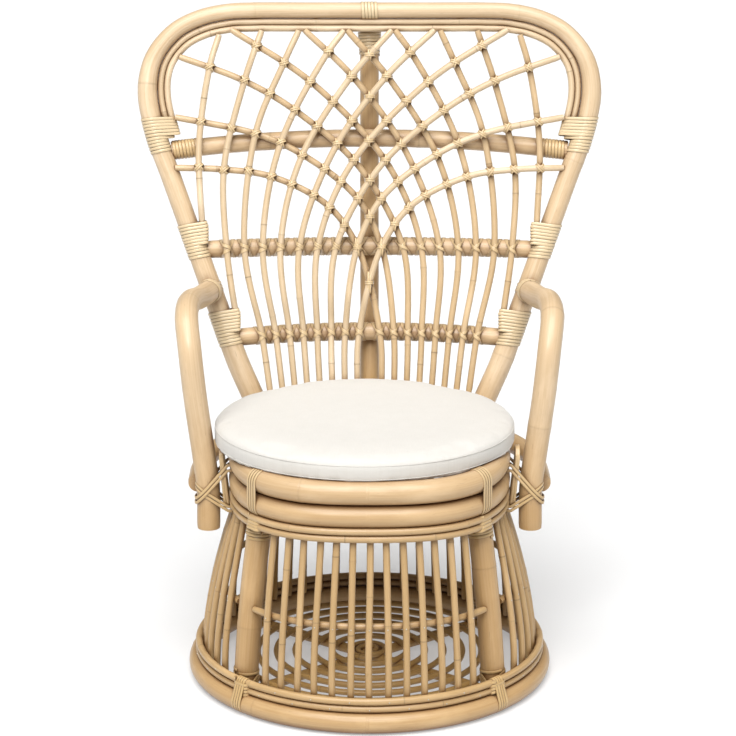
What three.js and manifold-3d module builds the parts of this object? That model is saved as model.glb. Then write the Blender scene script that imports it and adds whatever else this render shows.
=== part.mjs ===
// Peacock chair of rattan poles and canes: a round drum base, a seat of two stacked rings with a loose
// round cushion, two bent arms, and a wide hooped back filled with a fan of crossing canes.
// Millimetres, +Z up, the front of the chair faces -Y, and the base ring stands on Z = 0.

import * as THREE from "three";
import { mergeVertices } from "three/addons/utils/BufferGeometryUtils.js";
import Module from "manifold-3d";

const wasm = await Module();
wasm.setup();

// Fits and facets
const clearance = 0.3;
const fuseDepth = 1.2;
const poleSides = 8;
const caneSides = 5;
const ringSegments = 32;
const chordSag = (radius) => radius * (1 - Math.cos(Math.PI / ringSegments));
const poleFlat = Math.cos(Math.PI / poleSides);
const caneFlat = Math.cos(Math.PI / caneSides);

// Drum base
const baseRingRadius = 283;
const basePoleRadius = 17;
const baseHoopRadius = 5.3;
const legRadius = 19.5;
const legTurn = 51.5;
const legBow = 4;
const legFootHeight = 6;
const spindleRadius = 5.5;
const frontSpindles = 13;
const sideSpindles = 10;
const frontSpindleTurn = 6.25;
const sideSpindleTurn = 6.8;
const spindleFlare = 3;
const spindleFlareHeight = 0.34;
const uprightSlack = 0.7;
const spindleSteps = 3;
const legSteps = 6;
const waistHeight = 166;
const waistRadius = 5.5;

// Floor panel of concentric canes on a crossed brace, with a coil in the middle
const braceRadius = 8;
const braceSides = 6;
const floorCaneRadius = 5;
const floorCaneSides = 4;
const floorSegments = 16;
const floorRingCount = 6;
const floorRingFirst = 62;
const coilTurns = 2;
const coilPitch = 13.4;
const coilStart = 9;
const coilSteps = 10;

// Seat
const seatHalfWidth = 210;
const seatHalfDepth = 231;
const seatRoundness = 2.7;
const seatPoleRadius = 19;
const seatRingHeight = 381;
const seatHoopRadius = 5.3;
const seatHoopOutward = 13;
const rearRailRadius = 16.5;
const rearRailDrop = 52;
const rearRailHeight = seatRingHeight - rearRailDrop;
const slatRadius = 6;
const slatCount = 9;
const slatPitch = 42;
const bearerRadius = 10;
const bearerSpread = 95;

// Loose cushion
const cushionHalfWidth = 244;
const cushionHalfDepth = 228;
const cushionShift = -7;
const cushionAside = -8;
const cushionEdge = 34;
const cushionCrown = 11;
const cushionDrawIn = 9;

// Back: a plane leaning from the seat, measured across (u), up the plane (v) and behind it (w)
const backRecline = 13;
const backFootY = 217;
const backFootRise = 7;
const backFootZ = seatRingHeight + seatPoleRadius + backFootRise;
const framePoleRadius = 17;
const frameHalfWidth = 376;
const frameShoulder = 507;
const frameTop = 646;
const frameCornerRun = 182;
const frameRoundness = 2.4;
const frameSteps = 24;
const cornerTurns = [2, 20, 38, 54, 72, 90];
const shoulderRun = 67;
const postStations = [150, 260, 370, frameShoulder - shoulderRun];
const postBase = 60;
const postFootHalf = 205;
const postSplay = 0.357;
const postBendDrop = 29;
const postBendHeight = seatRingHeight - postBendDrop;
const postEndDrop = 82;
const postEndHeight = seatRingHeight - postEndDrop;
const postTurn = 140;
const backHoopRadius = 5.5;
const centrePostRadius = 16;
const railRadius = 15;
const railEndDepth = 10;
const lowerRail = { height: 97, arch: 8, bow: 20 };
const middleRail = { height: 246, arch: 5, bow: 20 };
const upperRailDrop = 92;
const upperRail = { height: frameShoulder - upperRailDrop, arch: 20, bow: 16 };

// Fan lattice: each cane crosses the lower rail, the middle rail and its knees, and ends on the inner
// hoop or beside a post; the last two on each side stop short beside the post
const latticeRadius = 5.25;
const latticeLayerGap = 0.45;
const latticeSteps = 12;
const latticeRise = 58;
const latticeFoot = 2;
const footFirst = 21;
const footPitch = 21.1;
const lowerFirst = 18;
const lowerPitch = 23.6;
const middleCrossings = [-20, 21, 57, 88, 119, 151, 181, 212, 242];
const shortCaneFeet = [[229, 146], [286, 300]];
const caneKnees = [
  [[-72, 321], [-166, 369], [-246, 381]],
  [[-22, 334], [-110, 404], [-191, 441]],
  [[-17, 385], [-126, 481], [-213, 531]],
  [[33, 387], [-98, 528]],
  [[63, 409], [-26, 535]],
  [[118, 396], [36, 531]],
  [[152, 421], [75, 571]],
  [[192, 445], [146, 557]],
  [[246, 385], [213, 524]],
  [[288, 424], [270, 552]],
];
const caneEnds = [-236, -112, -40, 41, 118, 181];
const sideCaneEnds = { 0: [-321, 384], 1: [-329, 470], 2: [-320, 567], 9: [253, 603] };

// Arms: the points of an arm give its place across, along and above the top of the seat
const armRadius = 19;
const armSeatX = 262;
const armSeatY = -45;
const armEndDrop = 122;
const armEndHeight = seatRingHeight - armEndDrop;
const armSteps = 20;
const armJoinHeight = 177;
const armJoinDepth = 5;
const armCrest = [283, 150, 194];
const armTurn = [294, 62, 209];
const armFront = [295, 0, 200];
const armKnee = [289, -34, 160];
const armWaist = [281, -43, 84];
const armHip = [268, -45, -18];

// Binding strips
const stripWidth = 6.8;
const stripThickness = 1.8;
const stripPitch = 8;
const stripSteps = 9;
const stripSlack = 0.7;
const postBindings = {
  lower: lowerRail.height - 15,
  middle: middleRail.height - 14,
  upper: upperRail.height - 5,
};
const postBindingTurns = 7;
const topBindingTurns = 3;
const armBindingTurns = 3;
const lashingTurns = 3;
const lashingGap = 3.5;
const lashingHeight = rearRailHeight + rearRailRadius + lashingGap;

const colours = { pole: 0xdcbf94, cane: 0xcfa56a, strip: 0xdab679, cloth: 0xf3f0e9 };
const rattan = (colour) => new THREE.MeshStandardMaterial({ color: colour, roughness: 0.55, metalness: 0 });
const chair = new THREE.Group();

// Closed geometry with shared corners only, its faces pointing out
function closed(geometry) {
  const bare = geometry.clone();
  bare.deleteAttribute("normal");
  bare.deleteAttribute("uv");
  const shared = mergeVertices(bare, 1e-4);
  const corners = shared.attributes.position;
  const faces = [];
  let volume = 0;
  const [a, b, c] = [new THREE.Vector3(), new THREE.Vector3(), new THREE.Vector3()];
  for (let face = 0; face < shared.index.count; face += 3) {
    const trio = [0, 1, 2].map((corner) => shared.index.getX(face + corner));
    if (new Set(trio).size < 3) continue;
    a.fromBufferAttribute(corners, trio[0]);
    b.fromBufferAttribute(corners, trio[1]);
    c.fromBufferAttribute(corners, trio[2]);
    volume += a.dot(b.cross(c));
    faces.push(trio);
  }
  shared.setIndex(faces.flatMap((trio) => (volume < 0 ? [...trio].reverse() : trio)));
  return shared;
}

function solid(geometry) {
  const shared = closed(geometry);
  const vertProperties = new Float32Array(shared.attributes.position.array);
  const triVerts = new Uint32Array(shared.index.array);
  return new wasm.Manifold(new wasm.Mesh({ numProp: 3, vertProperties, triVerts }));
}

function fromSolid(body) {
  const mesh = body.getMesh();
  const geometry = new THREE.BufferGeometry();
  geometry.setAttribute("position", new THREE.BufferAttribute(new Float32Array(mesh.vertProperties), 3));
  geometry.setIndex([...mesh.triVerts]);
  return geometry;
}

function joined(geometries) {
  const bodies = geometries.map(solid);
  return fromSolid(bodies.slice(1).reduce((sum, body) => sum.add(body), bodies[0]));
}

// The main part of a piece after its neighbour, with its clearance, is cut away
function coped(geometry, neighbour) {
  const bodies = solid(geometry).subtract(neighbour).decompose();
  return fromSolid(bodies.reduce((best, body) => (body.volume() > best.volume() ? body : best)));
}

function addPiece(name, geometry, colour) {
  const mesh = new THREE.Mesh(closed(geometry), rattan(colour));
  mesh.name = name;
  mesh.geometry.computeVertexNormals();
  chair.add(mesh);
  return mesh;
}

// A round pole or cane along a smooth path through the given points
function tube(points, radius, sides, steps) {
  const section = new THREE.Shape();
  for (let side = 0; side < sides; side += 1) {
    const angle = (2 * Math.PI * side) / sides;
    const [across, up] = [radius * Math.cos(angle), radius * Math.sin(angle)];
    if (side === 0) section.moveTo(across, up);
    else section.lineTo(across, up);
  }
  const extrudePath = new THREE.CatmullRomCurve3(points, false, "centripetal");
  return new THREE.ExtrudeGeometry(section, { steps, extrudePath, bevelEnabled: false });
}

// A point on a rounded oval in plan, moved outward along its normal; turn 0 is the front, 90 the +X side
function ovalPoint(halfWidth, halfDepth, roundness, turn, outward) {
  const angle = THREE.MathUtils.degToRad(turn);
  const [across, along] = [Math.sin(angle), -Math.cos(angle)];
  const sum = Math.abs(across / halfWidth) ** roundness + Math.abs(along / halfDepth) ** roundness;
  const reach = sum ** (-1 / roundness);
  const [x, y] = [reach * across, reach * along];
  const normal = new THREE.Vector2(
    (Math.sign(x) * (Math.abs(x) / halfWidth) ** (roundness - 1)) / halfWidth,
    (Math.sign(y) * (Math.abs(y) / halfDepth) ** (roundness - 1)) / halfDepth,
  ).normalize();
  return new THREE.Vector2(x + outward * normal.x, y + outward * normal.y);
}

const seatPlan = (turn, outward) => ovalPoint(seatHalfWidth, seatHalfDepth, seatRoundness, turn, outward);
const basePlan = (turn, outward) => ovalPoint(baseRingRadius, baseRingRadius, 2, turn, outward);

// A closed ring that follows a plan; its section has flats on top, below and on both sides
function ring(plan, radius, height, sides, segments) {
  const hub = 1;
  const wire = 0.5;
  const geometry = new THREE.TorusGeometry(hub, wire, sides, segments);
  const corners = geometry.attributes.position;
  const reach = radius / Math.cos(Math.PI / sides);
  for (let i = 0; i < corners.count; i += 1) {
    const [x, y, z] = [corners.getX(i), corners.getY(i), corners.getZ(i)];
    const turn = 90 + THREE.MathUtils.radToDeg(Math.atan2(y, x));
    const angle = Math.atan2(z, Math.hypot(x, y) - hub) + Math.PI / sides;
    const point = plan(turn, reach * Math.cos(angle));
    corners.setXYZ(i, point.x, point.y, height + reach * Math.sin(angle));
  }
  return geometry;
}

// A solid through a row of equal sections, with both ends closed
function loft(rows) {
  const count = rows[0].length;
  const positions = rows.flat().flatMap((point) => [point.x, point.y, point.z]);
  const faces = [];
  for (let row = 0; row + 1 < rows.length; row += 1) {
    for (let side = 0; side < count; side += 1) {
      const next = (side + 1) % count;
      const [here, ahead] = [row * count, (row + 1) * count];
      faces.push(here + side, here + next, ahead + next);
      faces.push(here + side, ahead + next, ahead + side);
    }
  }
  const last = (rows.length - 1) * count;
  for (let side = 1; side + 1 < count; side += 1) {
    faces.push(0, side + 1, side);
    faces.push(last, last + side, last + side + 1);
  }
  const geometry = new THREE.BufferGeometry();
  geometry.setAttribute("position", new THREE.Float32BufferAttribute(positions, 3));
  geometry.setIndex(faces);
  return geometry;
}

// Inner and outer corners of a binding strip, from the axis of the round pole that it is wound on
const stripInside = (radius) => (radius + stripSlack) / Math.cos(Math.PI / stripSteps);
const stripOutside = (radius) => stripInside(radius) + stripThickness;
let leastGap = Infinity;

// A flat strip wound as one helix round a pole's path; start is a length along it, side a direction off it
function winding(path, start, radius, turns, side) {
  const length = path.getLength();
  const [inside, outside] = [stripInside(radius), stripOutside(radius)];
  const rows = [];
  const middles = [];
  for (let step = 0; step <= turns * stripSteps; step += 1) {
    const share = (start + (stripPitch * step) / stripSteps) / length;
    const middle = path.getPointAt(share);
    const along = path.getTangentAt(share);
    const across = side.clone().addScaledVector(along, -side.dot(along)).normalize();
    const front = along.clone().cross(across);
    const angle = (2 * Math.PI * step) / stripSteps;
    const radial = across.multiplyScalar(Math.cos(angle)).addScaledVector(front, Math.sin(angle));
    const corner = (reach, shift) =>
      middle.clone().addScaledVector(radial, reach).addScaledVector(along, shift);
    const edge = stripWidth / 2;
    const bottom = [corner(inside, -edge), corner(inside, edge)];
    rows.push([...bottom, corner(outside, edge), corner(outside, -edge)]);
    middles.push(corner(inside, 0));
  }
  for (let step = 0; step + stripSteps < middles.length; step += 1) {
    leastGap = Math.min(leastGap, middles[step].distanceTo(middles[step + stripSteps]) - stripWidth);
  }
  return loft(rows);
}

// Heights that the stacked rings, hoops and legs share
const baseHeight = basePoleRadius;
const baseTop = baseHeight + basePoleRadius;
const baseHoopReach = baseHoopRadius / caneFlat;
const baseHoopPitch = 2 * baseHoopReach + clearance;
const baseHoopHeights = [0.5, 1.5].map((row) => baseTop + clearance / 2 + row * baseHoopPitch);
const lowerRingHeight = seatRingHeight - 2 * seatPoleRadius - clearance;
const seatHoopReach = seatHoopRadius / caneFlat;
const seatPoleReach = seatPoleRadius / poleFlat;
const hoopDrop = Math.sqrt((seatPoleReach + seatHoopReach + clearance) ** 2 - seatHoopOutward ** 2);
const seatHoopPitch = 2 * seatHoopReach + clearance;
const seatHoopHeights = [0, 1].map((row) => lowerRingHeight - hoopDrop - row * seatHoopPitch);
const standTop = lowerRingHeight - seatPoleRadius - clearance;
const seatTop = seatRingHeight + seatPoleRadius;

function makeBaseRings() {
  addPiece("base_ring", ring(basePlan, basePoleRadius, baseHeight, poleSides, ringSegments), colours.pole);
  ["lower", "upper"].forEach((level, row) => {
    const hoop = ring(basePlan, baseHoopRadius, baseHoopHeights[row], caneSides, ringSegments);
    addPiece(`base_hoop_${level}`, hoop, colours.cane);
  });
}

// An upright inside the hoops, at a turn round the drum: a point at a share of its run from the foot to
// the lower seat hoop
const headHeight = seatHoopHeights[1];
function standPoint(radius, turn, share, foot) {
  const fit = radius + uprightSlack;
  const top = seatPlan(turn, seatHoopOutward - seatHoopReach - chordSag(seatHalfDepth) - fit);
  const bottom = basePlan(turn, -baseHoopReach - chordSag(baseRingRadius) - fit);
  const flared = bottom.clone().setLength(bottom.length() + spindleFlare);
  const [early, late] = [1 - share, share];
  const bend = 2 * early * late;
  const x = early ** 2 * bottom.x + bend * flared.x + late ** 2 * top.x;
  const y = early ** 2 * bottom.y + bend * flared.y + late ** 2 * top.y;
  const kneeHeight = foot + spindleFlareHeight * (headHeight - foot);
  const z = early ** 2 * foot + bend * kneeHeight + late ** 2 * headHeight;
  return new THREE.Vector3(x, y, z);
}

// The upright runs on from the lower hoop until the edge of its cut end meets the lower ring
function standTip(radius, before, head) {
  const run = head.clone().sub(before);
  const slope = Math.hypot(run.x, run.y) / run.z;
  const rise = standTop - radius * slope - head.z;
  return head.clone().addScaledVector(run, rise / run.z);
}

function makeLegs() {
  const saddle = solid(ring(basePlan, basePoleRadius + clearance, baseHeight, poleSides, ringSegments));
  const rearTurn = 180 - legTurn;
  const places = { front_left: -legTurn, front_right: legTurn, rear_left: -rearTurn, rear_right: rearTurn };
  for (const [place, turn] of Object.entries(places)) {
    const foot = standPoint(legRadius, turn, 0, legFootHeight);
    const head = standPoint(legRadius, turn, 1, legFootHeight);
    const middle = foot.clone().lerp(head, 0.5);
    const tip = standTip(legRadius, middle, head);
    const outward = new THREE.Vector3(middle.x, middle.y, 0).setLength(legBow);
    const pole = tube([foot, middle.add(outward), head, tip], legRadius, poleSides, legSteps);
    addPiece(`leg_${place}`, coped(pole, saddle), colours.pole);
  }
}

// Spindles between two legs, nailed to a waist cane that runs round inside them
function spindlePanel(middleTurn, count, pitch, waistReach) {
  const foot = baseTop + clearance;
  const pieces = [];
  for (let i = 0; i < count; i += 1) {
    const turn = middleTurn + (i - (count - 1) / 2) * pitch;
    const points = [0, 0.3, 0.55, 0.8, 1].map((share) => standPoint(spindleRadius, turn, share, foot));
    points.push(standTip(spindleRadius, points[3], points[4]));
    pieces.push(tube(points, spindleRadius, caneSides, spindleSteps));
  }
  const share = waistShare(foot);
  const inward = (spindleRadius + waistRadius) * caneFlat - fuseDepth;
  const waist = [];
  for (let i = 0; i <= count; i += 1) {
    const turn = middleTurn - waistReach + (2 * waistReach * i) / count;
    const point = standPoint(spindleRadius, turn, share, foot);
    const plan = new THREE.Vector2(point.x, point.y);
    plan.setLength(plan.length() - inward);
    waist.push(new THREE.Vector3(plan.x, plan.y, point.z));
  }
  pieces.push(tube(waist, waistRadius, caneSides, count));
  return joined(pieces);
}

// The share of a spindle's run at which it passes the waist height
function waistShare(foot) {
  let [low, high] = [0, 1];
  for (let i = 0; i < 30; i += 1) {
    const share = (low + high) / 2;
    if (standPoint(spindleRadius, 0, share, foot).z < waistHeight) low = share;
    else high = share;
  }
  return (low + high) / 2;
}

function makeSpindles() {
  const legPlace = baseRingRadius - 2 * legRadius;
  const legHalfTurn = THREE.MathUtils.radToDeg((legRadius + 2 * uprightSlack) / legPlace);
  const frontReach = legTurn - legHalfTurn;
  const sideReach = 90 - legTurn - legHalfTurn;
  const panels = [
    ["front", 0, frontSpindles, frontSpindleTurn, frontReach],
    ["right", 90, sideSpindles, sideSpindleTurn, sideReach],
    ["rear", 180, frontSpindles, frontSpindleTurn, frontReach],
    ["left", 270, sideSpindles, sideSpindleTurn, sideReach],
  ];
  for (const [place, turn, count, pitch, reach] of panels) {
    addPiece(`spindle_panel_${place}`, spindlePanel(turn, count, pitch, reach), colours.cane);
  }
}

// Concentric canes and a middle coil, nailed on two crossed braces that run from leg to leg
function makeFloor() {
  const leg = standPoint(legRadius, 0, 0, legFootHeight);
  const braceReach = -leg.y - legRadius - 2 * uprightSlack;
  const braces = [legTurn, -legTurn].map((turn) => {
    const angle = THREE.MathUtils.degToRad(turn);
    const end = new THREE.Vector3(braceReach * Math.sin(angle), -braceReach * Math.cos(angle), baseHeight);
    return tube([end, new THREE.Vector3(-end.x, -end.y, end.z)], braceRadius, braceSides, 1);
  });
  const caneHeight = baseHeight + (braceRadius + floorCaneRadius) * poleFlat - 2 * fuseDepth;
  const coil = [];
  for (let step = 0; step <= coilTurns * coilSteps; step += 1) {
    const angle = (2 * Math.PI * step) / coilSteps;
    const reach = coilStart + (coilPitch * step) / coilSteps;
    coil.push(new THREE.Vector3(reach * Math.sin(angle), -reach * Math.cos(angle), caneHeight));
    const outer = reach + coilPitch;
    leastGap = Math.min(leastGap, outer - reach - 2 * floorCaneRadius);
  }
  const canes = [];
  const ringPitch = (braceReach - floorCaneRadius - floorRingFirst) / (floorRingCount - 1);
  for (let i = 0; i < floorRingCount; i += 1) {
    const radius = floorRingFirst + i * ringPitch;
    const plan = (turn, outward) => ovalPoint(radius, radius, 2, turn, outward);
    const flat = floorCaneRadius * Math.cos(Math.PI / floorCaneSides);
    canes.push(ring(plan, flat, caneHeight, floorCaneSides, floorSegments));
  }
  const scroll = tube(coil, floorCaneRadius, floorCaneSides, coilTurns * coilSteps);
  const pieces = [...braces, scroll, ...canes];
  addPiece("floor_scroll", joined(pieces), colours.cane);
}

function makeSeatRings() {
  for (const [level, height] of [["upper", seatRingHeight], ["lower", lowerRingHeight]]) {
    const pole = ring(seatPlan, seatPoleRadius, height, poleSides, ringSegments);
    addPiece(`seat_ring_${level}`, pole, colours.pole);
  }
  const hoopPlan = (turn, outward) => seatPlan(turn, seatHoopOutward + outward);
  ["upper", "lower"].forEach((level, row) => {
    const hoop = ring(hoopPlan, seatHoopRadius, seatHoopHeights[row], caneSides, ringSegments);
    addPiece(`seat_hoop_${level}`, hoop, colours.cane);
  });
}

// A bent rail round the rear of the seat: it clamps the back posts and butts the rear of both arms
function makeRearRail() {
  const outward = seatPoleRadius + 2 * framePoleRadius + rearRailRadius + 3 * clearance;
  const points = [];
  const halves = 12;
  for (let i = 0; i <= halves; i += 1) {
    const point = seatPlan(90 + (180 * i) / halves, outward);
    points.push(new THREE.Vector3(point.x, point.y, rearRailHeight));
  }
  const frontY = armSeatY + armRadius + clearance;
  points.unshift(new THREE.Vector3(points[0].x, frontY, rearRailHeight));
  points.push(new THREE.Vector3(points[points.length - 1].x, frontY, rearRailHeight));
  addPiece("seat_rear_rail", tube(points, rearRailRadius, poleSides, 24), colours.pole);
}

// Slats from front to rear on two bearers, all inside the upper ring and level with its top
function makeDeck() {
  const inset = seatPoleRadius + chordSag(seatHalfDepth) / 3 + clearance;
  const insideWidth = seatHalfWidth - inset;
  const insideDepth = seatHalfDepth - inset;
  const slatHeight = seatTop - slatRadius;
  const bearerHeight = slatHeight - slatRadius * caneFlat - bearerRadius * poleFlat + fuseDepth;
  const reachAt = (size, other, place, margin) =>
    size * (1 - ((Math.abs(place) + margin) / other) ** seatRoundness) ** (1 / seatRoundness);
  const pieces = [];
  for (const y of [-bearerSpread, bearerSpread]) {
    const reach = reachAt(insideWidth, insideDepth, y, bearerRadius);
    const [left, right] = [-reach, reach].map((x) => new THREE.Vector3(x, y, bearerHeight));
    pieces.push(tube([left, right], bearerRadius, poleSides, 1));
  }
  for (let i = 0; i < slatCount; i += 1) {
    const x = (i - (slatCount - 1) / 2) * slatPitch;
    const reach = reachAt(insideDepth, insideWidth, x, slatRadius);
    const [front, rear] = [-reach, reach].map((y) => new THREE.Vector3(x, y, slatHeight));
    pieces.push(tube([front, rear], slatRadius, caneSides, 1));
  }
  addPiece("seat_deck", joined(pieces), colours.cane);
}

// A round cushion with a crowned top, rounded edges and sides drawn in at the seam
function makeCushion() {
  const edge = cushionHalfWidth;
  const waist = cushionEdge / 2;
  const half = cushionEdge + cushionCrown;
  const profile = [
    [0, 0],
    [edge - 3 * cushionDrawIn, 0],
    [edge - cushionDrawIn, 0.12 * cushionEdge],
    [edge - 0.2 * cushionDrawIn, 0.32 * cushionEdge],
    [edge, waist],
    [edge - 0.3 * cushionDrawIn, 0.74 * cushionEdge],
    [edge - 1.3 * cushionDrawIn, 0.97 * cushionEdge],
    [edge - 4 * cushionDrawIn, cushionEdge + 0.35 * cushionCrown],
    [0.6 * edge, cushionEdge + 0.78 * cushionCrown],
    [0.3 * edge, cushionEdge + 0.95 * cushionCrown],
    [0, half],
  ];
  const turned = new THREE.LatheGeometry(profile.map(([x, y]) => new THREE.Vector2(x, y)), 36);
  turned.rotateX(Math.PI / 2);
  turned.scale(1, cushionHalfDepth / cushionHalfWidth, 1);
  const cushion = addPiece("cushion", turned, colours.cloth);
  cushion.material.roughness = 0.95;
  cushion.position.set(cushionAside, cushionShift, seatTop + clearance);
}

// From the leaning back's own directions to the chair's
const lean = THREE.MathUtils.degToRad(backRecline);
function onBack(u, v, w) {
  const y = backFootY + v * Math.sin(lean) + w * Math.cos(lean);
  const z = backFootZ + v * Math.cos(lean) - w * Math.sin(lean);
  return new THREE.Vector3(u, y, z);
}

// Half-width of the back frame's pole at a height up the back
const postHalf = (v) => Math.min(postFootHalf + postSplay * v, frameHalfWidth);

// The upper part of the frame in its plane, from the post over the corner to the middle of the top
function framePoints(inset) {
  const points = [];
  const slant = Math.hypot(1, postSplay);
  for (const v of postStations) {
    const across = postFootHalf + postSplay * v - inset / slant;
    points.push(new THREE.Vector2(across, v + (inset * postSplay) / slant));
  }
  const [run, rise] = [frameCornerRun - inset, frameTop - frameShoulder - inset];
  const cornerStart = frameHalfWidth - frameCornerRun;
  for (const turn of cornerTurns) {
    const angle = THREE.MathUtils.degToRad(turn);
    const sum = (Math.cos(angle) / run) ** frameRoundness + (Math.sin(angle) / rise) ** frameRoundness;
    const reach = sum ** (-1 / frameRoundness);
    const across = cornerStart + reach * Math.cos(angle);
    points.push(new THREE.Vector2(across, frameShoulder + reach * Math.sin(angle)));
  }
  points.push(new THREE.Vector2(cornerStart / 2, frameTop - inset));
  return points;
}

// One half of the frame, from its foot outside the seat rings to the middle of the top
function framePath(side) {
  const seat = seatPlan(postTurn, seatPoleRadius + framePoleRadius * poleFlat + clearance);
  const points = [postEndHeight, postBendHeight].map((z) => new THREE.Vector3(side * seat.x, seat.y, z));
  points.push(onBack(side * postHalf(postBase), postBase, 0));
  framePoints(0).forEach((point) => points.push(onBack(side * point.x, point.y, 0)));
  points.push(onBack((side * clearance) / 2, frameTop, 0));
  return points;
}

function makeFrame() {
  for (const [place, side] of [["left", -1], ["right", 1]]) {
    const pole = tube(framePath(side), framePoleRadius, poleSides, frameSteps);
    addPiece(`back_frame_${place}`, pole, colours.pole);
  }
}

// Two thin hoops nest inside the frame, from one upper binding over the top to the other
const hoopInset = framePoleRadius + stripThickness + 3 * clearance + backHoopRadius + 1;
const hoopInsets = [hoopInset, hoopInset + 2 * backHoopRadius + clearance];
const hoopEnd = postBindings.upper + (postBindingTurns + 1) * stripPitch;

// The plan of a hoop as one curve from right to left, kept in the plane of the back
function hoopCurve(inset) {
  const half = framePoints(inset);
  const right = half.map((point) => new THREE.Vector3(point.x, point.y, 0));
  const left = half.map((point) => new THREE.Vector3(-point.x, point.y, 0)).reverse();
  const top = new THREE.Vector3(0, frameTop - inset, 0);
  return new THREE.CatmullRomCurve3([...right, top, ...left], false, "centripetal");
}

function makeHoops() {
  ["outer", "inner"].forEach((place, row) => {
    const samples = hoopCurve(hoopInsets[row]).getSpacedPoints(120).filter((point) => point.y > hoopEnd);
    const points = samples.filter((_, i) => i % 4 === 0 || i === samples.length - 1);
    const cane = tube(points.map((point) => onBack(point.x, point.y, 0)), backHoopRadius, caneSides, 26);
    addPiece(`back_hoop_${place}`, cane, colours.cane);
  });
}

// Half-length of a rail: its end butts the binding on the post
function railHalf(rail) {
  const slant = Math.hypot(1, postSplay);
  return postHalf(rail.height - railRadius) - (stripOutside(framePoleRadius) + clearance) * slant;
}

function makeRails() {
  for (const [place, rail] of [["lower", lowerRail], ["middle", middleRail], ["upper", upperRail]]) {
    const half = railHalf(rail);
    const points = [-1, -0.66, -0.33, 0, 0.33, 0.66, 1].map((share) => {
      const swell = 1 - share * share;
      return onBack(share * half, rail.height + rail.arch * swell, railEndDepth + rail.bow * swell);
    });
    addPiece(`back_rail_${place}`, tube(points, railRadius, poleSides, 8), colours.pole);
  }
}

// The centre post stands behind the rails, from the rear of the seat rings to the back of the top pole
function makeCentrePost() {
  const seatY = seatHalfDepth + seatPoleRadius + centrePostRadius * poleFlat + 2.5 * clearance;
  const behind = railEndDepth + railRadius + centrePostRadius + clearance;
  const points = [postEndHeight, postBendHeight].map((z) => new THREE.Vector3(0, seatY, z));
  for (const rail of [lowerRail, middleRail, upperRail]) {
    points.push(onBack(0, rail.height + rail.arch, behind + rail.bow));
  }
  const behindTop = stripOutside(framePoleRadius) + centrePostRadius * poleFlat + clearance;
  points.push(onBack(0, frameTop + framePoleRadius / 2, behindTop));
  addPiece("back_post", tube(points, centrePostRadius, poleSides, 12), colours.pole);
}

// Depth of the rear layer of the lattice: it lies on the rails and on the front of the inner hoop
const onRail = railEndDepth - railRadius - latticeRadius - 2.8 * clearance;
function latticeDepth(u, v) {
  const middleTop = middleRail.height + middleRail.arch;
  const upperTop = upperRail.height + upperRail.arch;
  const hoopTop = frameTop - hoopInsets[1];
  let bow = lowerRail.bow;
  if (v > upperTop) bow = upperRail.bow * Math.max(0, (hoopTop - v) / (hoopTop - upperTop));
  else if (v > middleTop) {
    bow = THREE.MathUtils.lerp(middleRail.bow, upperRail.bow, (v - middleTop) / (upperTop - middleTop));
  }
  const half = postHalf(v) - stripOutside(framePoleRadius) * Math.hypot(1, postSplay);
  return onRail + bow * Math.max(0, 1 - (u / half) ** 2);
}

// The route of one cane in the plane of the back, for the family that rises on the right and leans left
function canePlan(index) {
  const points = [];
  const fullCanes = caneKnees.length - shortCaneFeet.length;
  if (index < fullCanes) {
    points.push([footFirst + footPitch * index, latticeFoot]);
    points.push([lowerFirst + lowerPitch * index, lowerRail.height + lowerRail.arch / 2]);
  } else {
    points.push(shortCaneFeet[index - fullCanes]);
  }
  if (index < middleCrossings.length) {
    points.push([middleCrossings[index], middleRail.height + middleRail.arch / 2]);
  }
  points.push(...caneKnees[index]);
  const sideEnds = Object.keys(sideCaneEnds).map(Number).filter((place) => place < index).length;
  points.push(sideCaneEnds[index] ?? [caneEnds[index - sideEnds], frameTop - hoopInsets[1]]);
  const route = points.map(([u, v]) => new THREE.Vector3(u, v, 0));
  return new THREE.CatmullRomCurve3(route, false, "centripetal");
}

function makeLattice() {
  const layer = 2 * latticeRadius + latticeLayerGap;
  const riseStart = lowerRail.height + railRadius;
  for (const [place, side] of [["right", 1], ["left", -1]]) {
    for (let index = 0; index < caneKnees.length; index += 1) {
      const route = canePlan(index).getSpacedPoints(latticeSteps);
      const points = route.map((point) => {
        const rise = THREE.MathUtils.smoothstep(point.y, riseStart, riseStart + latticeRise);
        const forward = side < 0 ? layer * rise : 0;
        return onBack(side * point.x, point.y, latticeDepth(point.x, point.y) - forward);
      });
      const name = `lattice_cane_${place}_${String(index + 1).padStart(2, "0")}`;
      addPiece(name, tube(points, latticeRadius, caneSides, latticeSteps), colours.cane);
    }
  }
}

// The length along a path at which it first reaches a height above the floor
function lengthAtHeight(path, height) {
  const points = path.getSpacedPoints(400);
  const index = points.findIndex((point) => point.z >= height);
  return (index / 400) * path.getLength();
}

function makeBackBindings() {
  const rearward = onBack(0, 0, 1).sub(onBack(0, 0, 0));
  for (const [place, side] of [["left", -1], ["right", 1]]) {
    const path = new THREE.CatmullRomCurve3(framePath(side), false, "centripetal");
    for (const [level, height] of Object.entries(postBindings)) {
      const start = lengthAtHeight(path, onBack(0, height, 0).z);
      const wrap = winding(path, start, framePoleRadius, postBindingTurns, rearward);
      addPiece(`binding_${level}_${place}`, wrap, colours.strip);
    }
  }
  const half = (topBindingTurns * stripPitch) / 2;
  const top = new THREE.LineCurve3(onBack(-half, frameTop, 0), onBack(half, frameTop, 0));
  const wrap = winding(top, 0, framePoleRadius, topBindingTurns, rearward);
  addPiece("binding_top_joint", wrap, colours.strip);
}

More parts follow.
